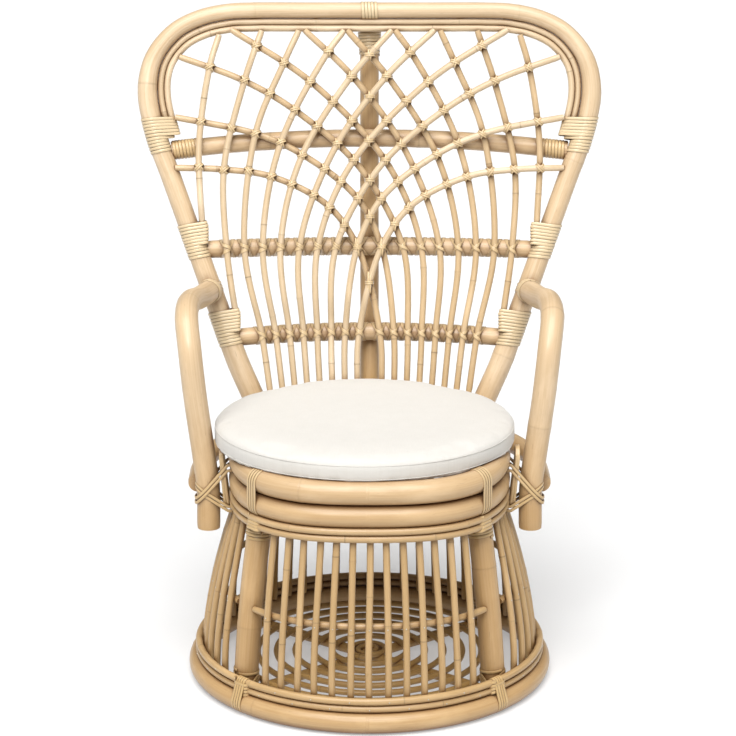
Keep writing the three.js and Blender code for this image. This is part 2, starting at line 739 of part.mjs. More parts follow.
// Each arm leaves the front of a post, comes forward, bends down and ends below the seat
function armPoints(side) {
  const join = onBack(postHalf(armJoinHeight), armJoinHeight, -armJoinDepth);
  const places = [armCrest, armTurn, armFront, armKnee, armWaist, armHip];
  const points = [join, ...places.map(([x, y, rise]) => new THREE.Vector3(x, y, seatTop + rise))];
  points.push(new THREE.Vector3(armSeatX, armSeatY, rearRailHeight));
  points.push(new THREE.Vector3(armSeatX, armSeatY, armEndHeight));
  return points.map((point) => new THREE.Vector3(side * point.x, point.y, point.z));
}

function makeArms() {
  for (const [place, side] of [["left", -1], ["right", 1]]) {
    const points = armPoints(side);
    const post = solid(tube(framePath(side), framePoleRadius + clearance, poleSides, frameSteps));
    addPiece(`arm_${place}`, coped(tube(points, armRadius, poleSides, armSteps), post), colours.pole);
    const path = new THREE.CatmullRomCurve3(points, false, "centripetal");
    const upward = new THREE.Vector3(0, 0, 1);
    const wrapStart = framePoleRadius + armRadius - armJoinDepth;
    const wrap = winding(path, wrapStart, armRadius, armBindingTurns, upward);
    addPiece(`arm_binding_${place}`, wrap, colours.strip);
    const lashStart = path.getLength() - (lashingHeight + lashingTurns * stripPitch - armEndHeight);
    const sideways = new THREE.Vector3(1, 0, 0);
    const lashing = winding(path, lashStart, armRadius, lashingTurns, sideways);
    addPiece(`arm_lashing_${place}`, lashing, colours.strip);
  }
}

makeBaseRings();
makeLegs();
makeSpindles();
makeFloor();
makeSeatRings();
makeRearRail();
makeDeck();
makeCushion();
makeFrame();
makeHoops();
makeRails();
makeCentrePost();
makeLattice();
makeBackBindings();
makeArms();

console.log(`Least gap of a wound strip to itself: ${leastGap.toFixed(2)} mm`);

// The origin lies on the floor under the middle of the chair's own box
const bounds = new THREE.Box3().setFromObject(chair);
chair.position.y = -(bounds.min.y + bounds.max.y) / 2;

const model = new THREE.Group();
model.name = "peacock_chair";
model.add(chair);

export default model;
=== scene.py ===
"""A rattan peacock chair with a loose round cushion, dressed in fine poles, canes and binding strips.

Lengths are in millimetres about the middle of the drum base, and become metres when a mesh is made.
"""

import math
from functools import partial

import bmesh
import bpy
import numpy as np
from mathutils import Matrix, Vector


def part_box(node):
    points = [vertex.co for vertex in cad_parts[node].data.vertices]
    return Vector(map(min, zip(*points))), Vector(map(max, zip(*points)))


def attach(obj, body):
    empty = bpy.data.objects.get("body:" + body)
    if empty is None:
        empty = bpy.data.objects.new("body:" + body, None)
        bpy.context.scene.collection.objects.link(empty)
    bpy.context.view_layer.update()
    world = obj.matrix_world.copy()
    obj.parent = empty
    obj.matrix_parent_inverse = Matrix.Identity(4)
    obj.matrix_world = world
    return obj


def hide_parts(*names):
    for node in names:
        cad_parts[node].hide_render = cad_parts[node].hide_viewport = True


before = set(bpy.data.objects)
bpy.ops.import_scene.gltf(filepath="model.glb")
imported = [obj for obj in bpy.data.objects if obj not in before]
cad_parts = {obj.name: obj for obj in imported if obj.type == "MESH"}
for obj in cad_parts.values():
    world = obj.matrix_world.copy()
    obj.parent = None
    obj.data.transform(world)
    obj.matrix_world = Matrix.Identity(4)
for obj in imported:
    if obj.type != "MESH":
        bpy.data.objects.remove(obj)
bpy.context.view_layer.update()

MM = 0.001
base_low, base_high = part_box("base_ring")
DRUM_Y = (base_low[1] + base_high[1]) / 2

# Camera and picture
IMAGE_SIZE = 736
FOCAL_PX = 2830
SENSOR_MM = 36
CAMERA_DISTANCE = 4.4
CAMERA_HEIGHT = 1.807
CAMERA_PITCH = 16.35
CENTRE_PX = 369.5

# Soft studio lamps: strength, softness, tilt from straight above, and turn to the right of the front
LAMPS = (("key", 4.6, 55, 28, -10), ("fill", 0.3, 60, 58, 40))
WORLD_LIGHT = 0.18
FLOOR_PAINT = (0.5, 0.5, 0.498, 1)
FLOOR_GLOW = 0.34
FLOOR_HALF_SIZE = 30
FLOOR_DROP = 0.0005
# A soft spot on the back from above the front: power, place, aim, cone, softness of its edge, and size
SPOT_POWER = 118
SPOT_PLACE = (-0.6, -2.2, 2.2)
SPOT_AIM = (0, 0.2, 0.84)
SPOT_CONE = 38
SPOT_BLEND = 0.8
SPOT_SIZE = 0.35

# Drum base
BASE_RING_RADIUS = 283
BASE_POLE_RADIUS = 17
HOOP_RADIUS = 5.9
LEG_RADIUS = 19.5
LEG_TURN = 51.5
LEG_BOW = 4
LEG_FOOT = 6
SPINDLE_RADIUS = 5.5
SPINDLE_FLARE = 3
SPINDLE_FLARE_SHARE = 0.34
SPINDLE_POINTS = 5
FRONT_SPINDLES = (13, 6.25)
SIDE_SPINDLES = (10, 6.8)
WAIST_HEIGHT = 166
WAIST_RADIUS = 5.5
BASE_HOOP_HEIGHTS = (40.3, 52.4)
SPINDLE_FOOT = 2 * BASE_POLE_RADIUS + 0.3
# How far a spindle wanders aside, in one bow and in two
SPINDLE_SWAYS = (1.1, 0.7)
LEG_CLEARANCE = 1.4
WAIST_SINK = 0.5
WAIST_POINTS = 15
UPRIGHT_POINTS = 60
# A nail's domed head: radius, sides, and the reach and rise of its rows
NAIL_RADIUS = 1.3
NAIL_SIDES = 10
NAIL_PROFILE = ((1, -0.25), (1, 0.1), (0.8, 0.4), (0.4, 0.56))

# Floor panel inside the drum
BRACE_RADIUS = 8
BRACE_REACH = 236
FLOOR_CANE_RADIUS = 5
FLOOR_RINGS = (62, 93, 124, 155, 186, 217)
FLOOR_HEIGHT = 26.5
COIL_TURNS = 2
COIL_PITCH = 13.4
COIL_START = 9
COIL_STEPS = 40

# Seat
SEAT_HALF_WIDTH = 210
SEAT_HALF_DEPTH = 231
SEAT_ROUNDNESS = 2.7
SEAT_POLE_RADIUS = 19
SEAT_RING_HEIGHTS = (381, 342.7)
SEAT_HOOP_OUTWARD = 13
SEAT_HOOP_HEIGHTS = (321.5, 309.5)
SEAT_TOP = 400
REAR_RAIL_RADIUS = 16.5
REAR_RAIL_HEIGHT = 329
REAR_RAIL_POINTS = 31
SLAT_RADIUS = 6
SLAT_COUNT = 9
SLAT_PITCH = 42
BEARER_RADIUS = 10
BEARER_SPREAD = 95
BEARER_RISE = 0.6
DECK_CLEARANCE = 0.7

# Cushion
CUSHION_HALF_WIDTH = 244
CUSHION_HALF_DEPTH = 228
CUSHION_SHIFT = -7
CUSHION_ASIDE = -8
CUSHION_BASE = 400.4
CUSHION_EDGE = 33
CUSHION_CROWN = 10
CROWN_SHARE = 0.95
CROWN_BLEND = 0.08
CROWN_DEGREE = 3
PRESSED_EDGE = 12
CUSHION_SAG = 5
ROLL_RUN = 18
ROLL_DROP = 13
SEAM_DROP = 8
SEAM_RADIUS = 0.6
SEAM_SINK = 0.0004
EDGE_ROUNDING = 1.5
SAG_START, SAG_RUN = 0.9, 0.06
# The sewn form before it is filled: points round it, reach and rows of its panels, bulge of the top panel as
# a share of the crown, and the band's edge as shares of the half size and drops below the top panel
CUSHION_POINTS = 72
PANEL_REACH = (0.06, 0.93)
TOP_ROWS, BOTTOM_ROWS = 24, 12
SEWN_BULGE = 0.6
BAND_EDGE = ((0.962, 0.6), (0.98, 3), (0.988, 8))
VOXEL = 0.006
# The filling: settings of the cloth, steps, and the furthest that the cover may move, in metres
CLOTH = {
    "quality": 5, "mass": 0.3, "tension_stiffness": 40, "compression_stiffness": 40,
    "bending_stiffness": 2.5, "use_pressure": True, "uniform_pressure_force": 4,
}
CLOTH_STEPS = 20
CLOTH_REACH = 0.007
# Puckers along the seams: depths in metres, counts, wander, and where they fade out
PUCKER_DEPTHS = (0.0005, 0.0004)
PUCKER_COUNTS = (43, 71)
PUCKER_WANDER = (2, 5, 1.3)
PUCKER_START, PUCKER_BLEND = 0.9, 0.1
PUCKER_RUN = 0.008
LEAST_REACH = 0.01
# The seams: the lower one's rise, steps, smoothing, and how near the cover's points are looked for
SEAM_RISE = 2.5
SEAM_STEPS = 180
SEAM_SMOOTHING = 3
SEAM_NEAR_TURN, SEAM_NEAR_HEIGHT = 0.04, 0.003

# Back, measured across (u), up the leaning plane (v) and behind it (w)
RECLINE = math.radians(13)
BACK_FOOT_Y = 217
BACK_FOOT_Z = 407
FRAME_RADIUS = 17
FRAME_TIP_RADIUS = 13.5
POST_RADIUS = 19
FRAME_HALF_WIDTH = 376
FRAME_SHOULDER = 507
FRAME_TOP = 649.5
FRAME_CORNER_RUN = 182
FRAME_ROUNDNESS = 2.4
POST_FOOT_HALF = 205
POST_SPLAY = 0.357
POST_STATIONS = (150, 260, 370, 440)
POST_BASE = 60
POST_BEND_HEIGHT = 352
POST_END_HEIGHT = 299
POST_TURN = 140
BACK_HOOP_RADIUS = 5.6
BACK_HOOP_GAPS = (5.7, 16.7)
BACK_HOOP_END = 440
CENTRE_POST_RADIUS = 16
RAIL_RADIUS = 15
RAIL_END_DEPTH = 10
# Each rail's height, arch and bow to the rear
RAILS = {"lower": (97, 8, 20), "middle": (246, 5, 20), "upper": (415, 20, 16)}
RAIL_END_TURNS = 7
RAIL_END_INSET, RAIL_BOW_INSET = 16, 21
RAIL_STATIONS = 9
RAIL_STEP = 2
FRAME_CORNER_TURNS = (2, 20, 38, 54, 72, 90)
FRAME_JOINT_GAP = 0.3
POST_TAPER_TOP = 300
POST_HEAD_GAP = 3

# Fan lattice
LATTICE_RADIUS = 5.4
LATTICE_LAYER = 11
LATTICE_RISE = 58
LATTICE_FOOT = 2
LATTICE_END_RUN = 42
FOOT_FIRST, FOOT_PITCH = 21, 21.1
LOWER_FIRST, LOWER_PITCH = 18, 23.6
MIDDLE_CROSSINGS = (-20, 21, 57, 88, 119, 151, 181, 212, 242)
SHORT_CANE_FEET = ((227, 136), (283.5, 288))
CANE_KNEES = (
    ((-72, 321), (-166, 369), (-246, 381)),
    ((-22, 334), (-110, 404), (-191, 441)),
    ((-17, 385), (-126, 481), (-213, 531)),
    ((33, 387), (-98, 528)),
    ((63, 409), (-26, 535)),
    ((118, 396), (36, 531)),
    ((152, 421), (75, 571)),
    ((192, 445), (146, 557)),
    ((246, 385), (213, 524)),
    ((288, 424), (270, 552)),
)
CANE_ENDS = (
    (-332, 384), (-332, 470), (-324, 572), (-236, 618), (-112, 618),
    (-40, 618), (41, 618), (118, 618), (181, 618), (253, 611),
)
FULL_CANES = len(CANE_KNEES) - len(SHORT_CANE_FEET)
CANE_CLEARANCE = 0.4
CANE_END_CUT = 3
CANE_STEP = 4
# Canes are tied where their plans pass this near, but not at their first and last points or low down
CROSSING_GAP = 4
CROSSING_END_POINTS = 3
LOWEST_TIE = 60

# Arms
ARM_RADIUS = 19
ARM_SEAT = (262, -45)
ARM_END_HEIGHT = 259
ARM_JOIN_HEIGHT = 177
ARM_JOIN_DEPTH = 17
ARM_REAR_GAP = 0.3
ARM_PATH = (
    (283, 150, 594),
    (294, 62, 609),
    (295, 0, 600),
    (289, -34, 560),
    (281, -43, 484),
    (268, -45, 382),
)

# Binding strips
STRIP_WIDTH = 5.3
STRIP_THICKNESS = 1.4
STRIP_PITCH = 5.6
STRIP_STEPS = 40
TIE_WIDTH = 3.1
TIE_THICKNESS = 0.9
RAIL_TIE_WIDTH = 3.2
RAIL_TIE_REACH = 10.5
TIE_LIFT = 0.1
STRAND_SPACING = 1.04
TIGHTENING = 90
# How closely a tie's face follows the skin of the front rod and of the rear rod
FRONT_GRIP, REAR_GRIP = 0.2, 3.0
# Ties: place of their two strands, least sine of a crossing, least step, smoothing passes, how far aside a
# strip is lifted over a cane, and how near a rod must be to turn the strip's face
STRANDS = (-0.5, 0.5)
LEAST_SINE = 0.3
LEAST_STEP = 0.05
CROSS_TIE_PASSES, RAIL_TIE_PASSES = 3, 6
LIFT_REACH = 1.6
FACE_REACH = 0.2
LOOP_WIDTH = 5
LOOP_SPACING = 1.03
LEG_LOOPS = 4
LASH_SHIFT = 6
# A leg's lashes: start height, turns, and the turns between which they take in the hoops
LEG_FOOT_LASH = (31, 5, -1, 4)
LEG_HEAD_LASH = (278, 8, 3.2, 9)
HOOP_SPREAD, HOOP_PADDING = 8, 2.2
# Each arm strip's height at the seat rings, its height outside the arm, and how far it lies off the pole
ARM_LASHINGS = ((371, 312, 1.7), (362, 304, 1.7), (300, 336, 0.2), (293, 329, 0.2))
# The turns between arm and seat: their strands, sideways shifts low and high, and radii there
ARM_STRANDS = (-0.6, 0.6)
ARM_SHIFTS = ((-4, 4), (3, 2))
ARM_TURN_RADII = (15, 17)
ARM_LASH_GAP, ARM_LASH_PINCH = 0.4, 4
ARM_BINDING_START, ARM_BINDING_TURNS = 8, 3
POST_BINDINGS = {"lower": 83, "middle": 231, "upper": 410}
POST_BINDING_TURNS = 11
POST_HEAD_BINDING = 574
POST_HEAD_TURNS = 8
TOP_JOINT_TURNS = 5
BINDING_SHEAR = 0.2
POST_HEAD_BEHIND, POST_HEAD_SPREAD = 30, 0.4
RAIL_WINDING_START = 3
# Space under a binding, a winding and a loop, and how unevenly the turns lie
BINDING_GAP, WINDING_GAP, LOOP_GAP = 0.3, 0.2, 0.15
STRIP_DRIFT = 0.25
# The turns at which the upper bindings take in the hoops, and the bulge of the other bindings over the canes
HOOP_TURNS = (4, 5)
BULGE_TURNS = (4, 9.4)
BULGE_SHIFTS = (-3, LATTICE_RADIUS + 2)
BULGE_FORWARD = 10.5
BULGE_RADIUS = LATTICE_RADIUS + 0.6
# A strip's section: places across its width, rise of its crowned face, and painted shade at its edges, where
# strips meet
STRIP_ACROSS = (0.5, 0.47, 0.3, 0, -0.3, -0.47, -0.5)
STRIP_CROWN = (0, 0.55, 0.86, 1, 0.86, 0.55, 0)
STRIP_EDGE_SHADE = (1, 0.7, 0, 0, 0, 0.7, 1)

# For each kind of pole: sides round it, step along it, and mean space between its growth rings
DETAIL = {
    "base_ring": (28, 6, 330), "base_hoop": (14, 7, 210), "leg": (28, 9, 240), "spindle": (12, 9, 150),
    "waist": (12, 9, 170), "brace": (16, 12, 200), "floor_ring": (12, 8, 170), "coil": (12, 5, 150),
    "seat_ring": (28, 6, 300), "seat_hoop": (14, 7, 220), "bearer": (16, 12, 200), "slat": (12, 12, 190),
    "rear_rail": (26, 8, 280), "frame": (28, 7, 320), "back_hoop": (14, 7, 230), "rail": (24, 9, 260),
    "lattice": (14, 8, 175), "arm": (28, 8, 260), "seam": (10, 4, 9000),
}
# Growth rings: places of the first and the next ones in shares of their space, bare end, and strengths
FIRST_RING, NEXT_RING = (0.25, 0.95), (0.7, 1.3)
RING_END = 8
RING_STRENGTHS = (0.2, 1.0)
# Rows of points beside a ring, and for canes and poles: swell and its run, groove, run of the dark mark, and
# how far the rows are spread
RING_ROWS = (-9, -4, -2, -1, -0.4, 0, 0.4, 1, 2, 4, 9)
CANE_RINGS = (0.06, 3.2, 0.02, 0.9, 1)
POLE_RINGS = (0.022, 7, 0.012, 1.6, 1.6)
GROOVE_RUN = 0.7
END_TRIM = 0.7
CURVE_STEPS = 24
RING_STEPS = 360
GRAIN_LENGTH = 900
SHARP_ANGLE = 50
TINY = 1e-9
SAME_SPOT = 1e-6
FAR = 1e6
# Directions that no pole and no nail runs along
POLE_SLANT = (0.3, 0.5, 0.81)
NAIL_SLANT = (0.21, 0.37, 0.9)

# Painted shade: the rattan is drawn darker low down, where less light reaches it: heights, and how much of
# the painted shade shows there
SHADE_HEIGHTS = (0, 60, 290, 400, 460)
SHADE_LEVELS = (0.5, 0.62, 0.58, 0.25, 0.0)
# Colour that the painted shade multiplies the rattan by
PAINTED_SHADE = (0.72, 0.53, 0.21)
# Painted shade in narrow gaps, from ambient occlusion: colour, strength, reach in metres, and samples
CREVICE_SHADE = (0.3, 0.16, 0.06)
CREVICE_DEPTH = 0.85
CREVICE_REACH = 0.017
CREVICE_SAMPLES = 4
# Extra painted shade on what lies behind or inside, where little light reaches, and the ties are drawn darker
# too
RAIL_SHADE, POST_SHADE, RAIL_END_SHADE = 0.2, 0.45, 0.45
INSIDE_SHADE, TIE_SHADE, REAR_CANE_SHADE = 0.3, 0.25, 0.3

SIDES = (("left", -1), ("right", 1))
UPRIGHT = np.array([0.0, 0, 1])
dice = np.random.default_rng(7)


def unit(vector):
    vector = np.asarray(vector, float)
    return vector / np.linalg.norm(vector)


def units(rows):
    return rows / np.linalg.norm(rows, axis=1)[:, None]


def curve(points):
    """A centripetal Catmull-Rom curve through the points, as many fine points."""
    given = np.asarray(points, float)
    given = np.vstack([2 * given[0] - given[1], given, 2 * given[-1] - given[-2]])
    share = np.linspace(0, 1, CURVE_STEPS, endpoint=False)[:, None]
    square, cube = share**2, share**3
    fine = []
    for before, start, end, after in zip(given, given[1:], given[2:], given[3:]):
        first = np.linalg.norm(start - before) ** 0.5
        middle = np.linalg.norm(end - start) ** 0.5
        last = np.linalg.norm(after - end) ** 0.5
        leave = (start - before) / first - (end - before) / (first + middle) + (end - start) / middle
        arrive = (end - start) / middle - (after - start) / (middle + last) + (after - end) / last
        run = (2 * cube - 3 * square + 1) * start + (cube - 2 * square + share) * middle * leave
        fine.append(run + (3 * square - 2 * cube) * end + (cube - square) * middle * arrive)
    fine.append(given[-2][None])
    return np.vstack(fine)


def lengths(points):
    return np.concatenate([[0], np.cumsum(np.linalg.norm(np.diff(points, axis=0), axis=1))])


def sampled(run, values, places):
    """Values known along a run, at other places on it."""
    return np.stack([np.interp(places, run, column) for column in values.T], axis=-1)


def at(points, places):
    """Points at the given lengths along a polyline."""
    return sampled(lengths(points), points, places)


def tangents(points):
    return units(np.gradient(points, axis=0))


def headings(path, places, reach):
    """Directions of a path at places along it."""
    return units(at(path, places + reach) - at(path, places - reach))


def loop_ways(points):
    """Directions along a closed run of points."""
    return units(np.roll(points, -1, axis=0) - np.roll(points, 1, axis=0))


def oval(half_width, half_depth, roundness, turn, outward):
    """A point on a rounded oval, moved outward; turn 0 is the front and 90 the +X side."""
    angle = np.radians(turn)
    across, along = np.sin(angle), -np.cos(angle)
    total = np.abs(across / half_width) ** roundness + np.abs(along / half_depth) ** roundness
    reach = total ** (-1 / roundness)
    x, y = reach * across, reach * along
    normal_x = np.sign(x) * (np.abs(x) / half_width) ** (roundness - 1) / half_width
    normal_y = np.sign(y) * (np.abs(y) / half_depth) ** (roundness - 1) / half_depth
    size = np.hypot(normal_x, normal_y)
    return x + outward * normal_x / size, y + outward * normal_y / size


seat_plan = partial(oval, SEAT_HALF_WIDTH, SEAT_HALF_DEPTH, SEAT_ROUNDNESS)
base_plan = partial(oval, BASE_RING_RADIUS, BASE_RING_RADIUS, 2)


def on_back(u, v, w):
    y = BACK_FOOT_Y + v * math.sin(RECLINE) + w * math.cos(RECLINE)
    z = BACK_FOOT_Z + v * math.cos(RECLINE) - w * math.sin(RECLINE)
    return np.stack(np.broadcast_arrays(np.asarray(u, float), y, z), axis=-1)


BACK_ACROSS = np.array([1.0, 0.0, 0.0])
BACK_FRONT = on_back(0, 0, -1) - on_back(0, 0, 0)


class Bundle:
    """Poles, canes and strips that become one mesh.

    Each vertex keeps its place on its own straightened pole for the grain, and a look: how dark a knuckle
    mark, or on a strip the painted shade at its edges, is there, the tone of its cane, and how much painted
    shade it has, more low down and on what lies behind or inside.
    """

    def __init__(self, shade=0.0):
        self.shade = shade
        self.points = []
        self.faces = []
        self.places = []
        self.looks = []
        self.count = 0

    def grid(self, rows, places, looks, closed=False):
        """Adds rows of equal closed sections, joined into one skin."""
        amount, sides = rows.shape[:2]
        index = self.count + np.arange(amount * sides).reshape(amount, sides)
        following = np.roll(index, -1, axis=0) if closed else index[1:]
        here = index if closed else index[:-1]
        corners = [here, np.roll(here, -1, axis=1), np.roll(following, -1, axis=1), following]
        self.faces.extend(np.stack(corners, axis=-1).reshape(-1, 4).tolist())
        if not closed:
            self.faces.append(index[0][::-1].tolist())
            self.faces.append(index[-1].tolist())
        self.points.append(rows.reshape(-1, 3))
        self.places.append(places.reshape(-1, 3))
        self.looks.append(looks.reshape(-1, 3))
        self.count += amount * sides

    def skin(self, rows, run, first, second, marks, closed):
        """Adds the skin of one pole or strip: its run, its section in two directions, and its dark marks:
        growth rings on a pole, painted shade at the edges of a strip.
        """
        start = dice.uniform(0, GRAIN_LENGTH)
        tone = dice.uniform(0, 1)
        places = np.broadcast_arrays(run[:, None] + start, first, second)
        looks = np.broadcast_arrays(marks, tone, low_shade(rows) + self.shade)
        self.grid(rows, np.stack(places, axis=-1), np.stack(looks, axis=-1), closed)

    def build(self, name, material, slot, *nodes):
        points = np.vstack(self.points) * MM
        points[:, 1] += DRUM_Y
        mesh = bpy.data.meshes.new(name)
        mesh.from_pydata(points.tolist(), [], self.faces)
        for title, values in (("place", np.vstack(self.places) * MM), ("look", np.vstack(self.looks))):
            mesh.attributes.new(title, "FLOAT_VECTOR", "POINT")
            mesh.attributes[title].data.foreach_set("vector", values.ravel())
        mesh.polygons.foreach_set("use_smooth", np.ones(len(mesh.polygons), bool))
        mesh.set_sharp_from_angle(angle=math.radians(SHARP_ANGLE))
        mesh.materials.append(material)
        piece = shown(name, mesh)
        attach(piece, "chair")
        if nodes:
            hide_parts(*nodes)
        return piece


def shown(name, data):
    """A new object in the scene."""
    thing = bpy.data.objects.new(name, data)
    bpy.context.scene.collection.objects.link(thing)
    return thing


# Painted shade: how much darker the rattan is drawn at each height, more of it below the seat
def low_shade(points):
    return np.interp(points[..., 2], SHADE_HEIGHTS, SHADE_LEVELS)


def knuckles(length, spacing):
    """Places of the growth rings along a pole."""
    places = []
    place = spacing * dice.uniform(*FIRST_RING)
    while place < length - RING_END:
        places.append(place)
        place += spacing * dice.uniform(*NEXT_RING)
    return np.array(places)


def pole(bundle, points, radius, detail, thick=False, closed=False, up=None):
    """A round pole or cane along fine points, with its growth rings and slightly rounded cut ends."""
    sides, step, spacing = DETAIL[detail]
    swell, swell_run, groove, mark_run, spread = POLE_RINGS if thick else CANE_RINGS
    total = lengths(points)[-1]
    rings = knuckles(total, spacing)
    places = np.linspace(0, total, max(3, int(total / step) + 1))
    places = np.concatenate([places, (rings[:, None] + np.array(RING_ROWS) * spread).ravel()])
    places = np.unique(np.round(np.clip(places, 0, total), 2))
    if closed:
        places = places[:-1]
    thickness = radius(places / total) if callable(radius) else np.full(len(places), float(radius))
    along = headings(points, places, reach=1)
    near = np.abs(places[:, None] - rings[None, :]) if len(rings) else np.full((len(places), 1), FAR)
    strengths = dice.uniform(*RING_STRENGTHS, near.shape[1])[near.argmin(axis=1)]
    near = near.min(axis=1)
    swelling = 1 + swell * np.exp(-((near / swell_run) ** 2))
    swelling -= groove * np.exp(-((near / GROOVE_RUN) ** 2))
    mark = np.exp(-((near / mark_run) ** 2)) * strengths
    reach = thickness * swelling
    if not closed:
        inward = np.minimum(places, total - places)
        reach = reach - END_TRIM * np.clip(1 - inward / END_TRIM, 0, 1) ** 2
    normal = unit(np.cross(along[0], POLE_SLANT)) if up is None else unit(up)
    normals = []
    for direction in along:
        normal = unit(normal - direction * normal.dot(direction))
        normals.append(normal)
    normals = np.array(normals)[:, None]
    beside = np.cross(along[:, None], normals)
    angles = np.linspace(0, math.tau, sides, endpoint=False)
    cosines, sines = np.cos(angles), np.sin(angles)
    ring = cosines[None, :, None] * normals + sines[None, :, None] * beside
    rows = at(points, places)[:, None] + reach[:, None, None] * ring
    size = thickness.mean()
    bundle.skin(rows, places, size * cosines, size * sines, mark[:, None], closed)


def ring_path(plan, outward, height):
    x, y = plan(np.linspace(0, 360, RING_STEPS + 1), outward)
    return np.stack([x, y, np.full_like(x, height)], axis=-1)


def strip(bundle, middles, normals, width, thickness, closed=False):
    """A flat strip with a crowned face along points; the normals point out of its face."""
    along = loop_ways(middles) if closed else tangents(middles)
    side = units(np.cross(along, normals))
    across = np.array(STRIP_ACROSS) * width
    rise = np.array(STRIP_CROWN) * thickness
    rows = middles[:, None] + across[None, :, None] * side[:, None] + rise[None, :, None] * normals[:, None]
    bundle.skin(rows, lengths(middles), across, rise, np.array(STRIP_EDGE_SHADE), closed)


def hull(circles, angles):
    """The outline drawn tight round some circles (x, y, radius): points and normals at each angle."""
    circles = np.asarray(circles, float)
    normals = np.stack([np.cos(angles), np.sin(angles)], axis=-1)
    support = normals @ circles[:, :2].T + circles[:, 2]
    best = circles[support.argmax(axis=1)]
    return best[:, :2] + best[:, 2:] * normals, normals


def wound(bundle, path, start, circles_at, turns, side, shear=0.0):
    """One strip wound round a pole's path and round what lies beside it, turn by turn."""
    angles = np.linspace(0, math.tau * turns, turns * STRIP_STEPS + 1)
    turned = angles / math.tau
    places = start + STRIP_PITCH * angles / math.tau
    along = headings(path, places, reach=2)
    across = units(side - along * (along @ side)[:, None])
    front = np.cross(along, across)
    outline = [hull(circles_at(turn), angles[i:i + 1]) for i, turn in enumerate(turned)]
    points = np.vstack([spot for spot, _ in outline])
    normals = np.vstack([normal for _, normal in outline])
    sway = np.interp(turned, np.arange(turns + 2), dice.normal(0, STRIP_DRIFT, turns + 2))
    sway = sway - shear * points[:, 1]
    where = at(path, places) + points[:, :1] * across + points[:, 1:] * front + sway[:, None] * along
    strip(bundle, where, normals[:, :1] * across + normals[:, 1:] * front, STRIP_WIDTH, STRIP_THICKNESS)


def snug(radius):
    """Circles of a winding round one pole, the same at every turn."""
    return lambda turn: [(0, 0, radius + WINDING_GAP)]


def evened(spots, normals, count):
    """A closed run of points with its normals, drawn again in even steps."""
    loop = np.vstack([spots, spots[:1]])
    run = lengths(loop)
    even = np.linspace(0, run[-1], count, endpoint=False)
    return sampled(run, loop, even), sampled(run, np.vstack([normals, normals[:1]]), even)


def smoothed(normals, along, passes):
    """Normals of a closed strip, evened out and kept square to its run."""
    for _ in range(passes):
        normals = (np.roll(normals, 1, axis=0) + 2 * normals + np.roll(normals, -1, axis=0)) / 4
        normals = units(normals - along * np.sum(along * normals, axis=1)[:, None])
    return normals


def band(bundle, middle, across, front, circles, tilt=None, lift=LOOP_GAP):
    """A closed strip drawn round circles in the plane of two directions; tilt shifts it off that plane."""
    spots, normals = hull(circles, np.linspace(0, math.tau, 2 * STRIP_STEPS, endpoint=False))
    keep = np.concatenate([[True], np.linalg.norm(np.diff(spots, axis=0), axis=1) > SAME_SPOT])
    spots, normals = evened(spots[keep], normals[keep], 2 * STRIP_STEPS)
    normals = units(normals)
    spots = spots + lift * normals
    where = middle + spots[:, :1] * across + spots[:, 1:] * front
    if tilt is not None:
        where = where + tilt(spots)
    face = normals[:, :1] * across + normals[:, 1:] * front
    strip(bundle, where, face, LOOP_WIDTH, STRIP_THICKNESS, closed=True)


def wrap(bundle, middle, way, facing, rods, width, thickness, lift):
    """A closed strip drawn tight round crossing rods (spot, way, radius), in the plane of two directions."""
    angles = np.linspace(0, math.tau, 4 * STRIP_STEPS, endpoint=False)
    heading = np.stack([np.cos(angles), np.sin(angles)], axis=-1)
    supports = []
    outlines = []
    for spot, rod_way, radius in rods:
        sine = math.sqrt(max(LEAST_SINE**2, 1 - way.dot(rod_way) ** 2))
        axes = np.array([radius / sine, radius])
        reach = np.linalg.norm(axes * heading, axis=1)
        centre = np.array([(spot - middle).dot(way), (spot - middle).dot(facing)])
        supports.append(heading @ centre + reach)
        outlines.append(centre + axes**2 * heading / reach[:, None])
    nearest = np.argmax(supports, axis=0)
    flat = np.array([outlines[rod][i] for i, rod in enumerate(nearest)])
    where = middle + flat[:, :1] * way + flat[:, 1:] * facing
    normals = heading[:, :1] * way + heading[:, 1:] * facing
    for i, rod in enumerate(nearest):
        spot, rod_way, _ = rods[rod]
        out = where[i] - spot
        grip = REAR_GRIP if rod else FRONT_GRIP
        normals[i] = unit(normals[i] + grip * unit(out - rod_way * out.dot(rod_way)))
    keep = np.linalg.norm(where - np.roll(where, 1, axis=0), axis=1) > LEAST_STEP
    where, normals = evened(where[keep], normals[keep], STRIP_STEPS)
    normals = smoothed(normals, loop_ways(where), CROSS_TIE_PASSES)
    strip(bundle, where + lift * normals, normals, width, thickness, closed=True)


def cross_tie(bundle, front, rear, width=TIE_WIDTH, thickness=TIE_THICKNESS):
    """An X of double strips round two crossing rods (spot, way, radius)."""
    facing = unit(front[0] - rear[0])
    front_way = unit(front[1] - facing * facing.dot(front[1]))
    rear_way = unit(rear[1] - facing * facing.dot(rear[1]))
    if front_way.dot(rear_way) < 0:
        rear_way = -rear_way
    rods = [(front[0], front_way, front[2]), (rear[0], rear_way, rear[2])]
    for layer, sign in enumerate((1, -1)):
        way = unit(front_way + sign * rear_way)
        beside = np.cross(facing, way)
        lift = TIE_LIFT / 2 + layer * thickness
        for strand in STRANDS:
            shift = strand * width * STRAND_SPACING
            wrap(bundle, rear[0] + shift * beside, way, facing, rods, width, thickness, lift)


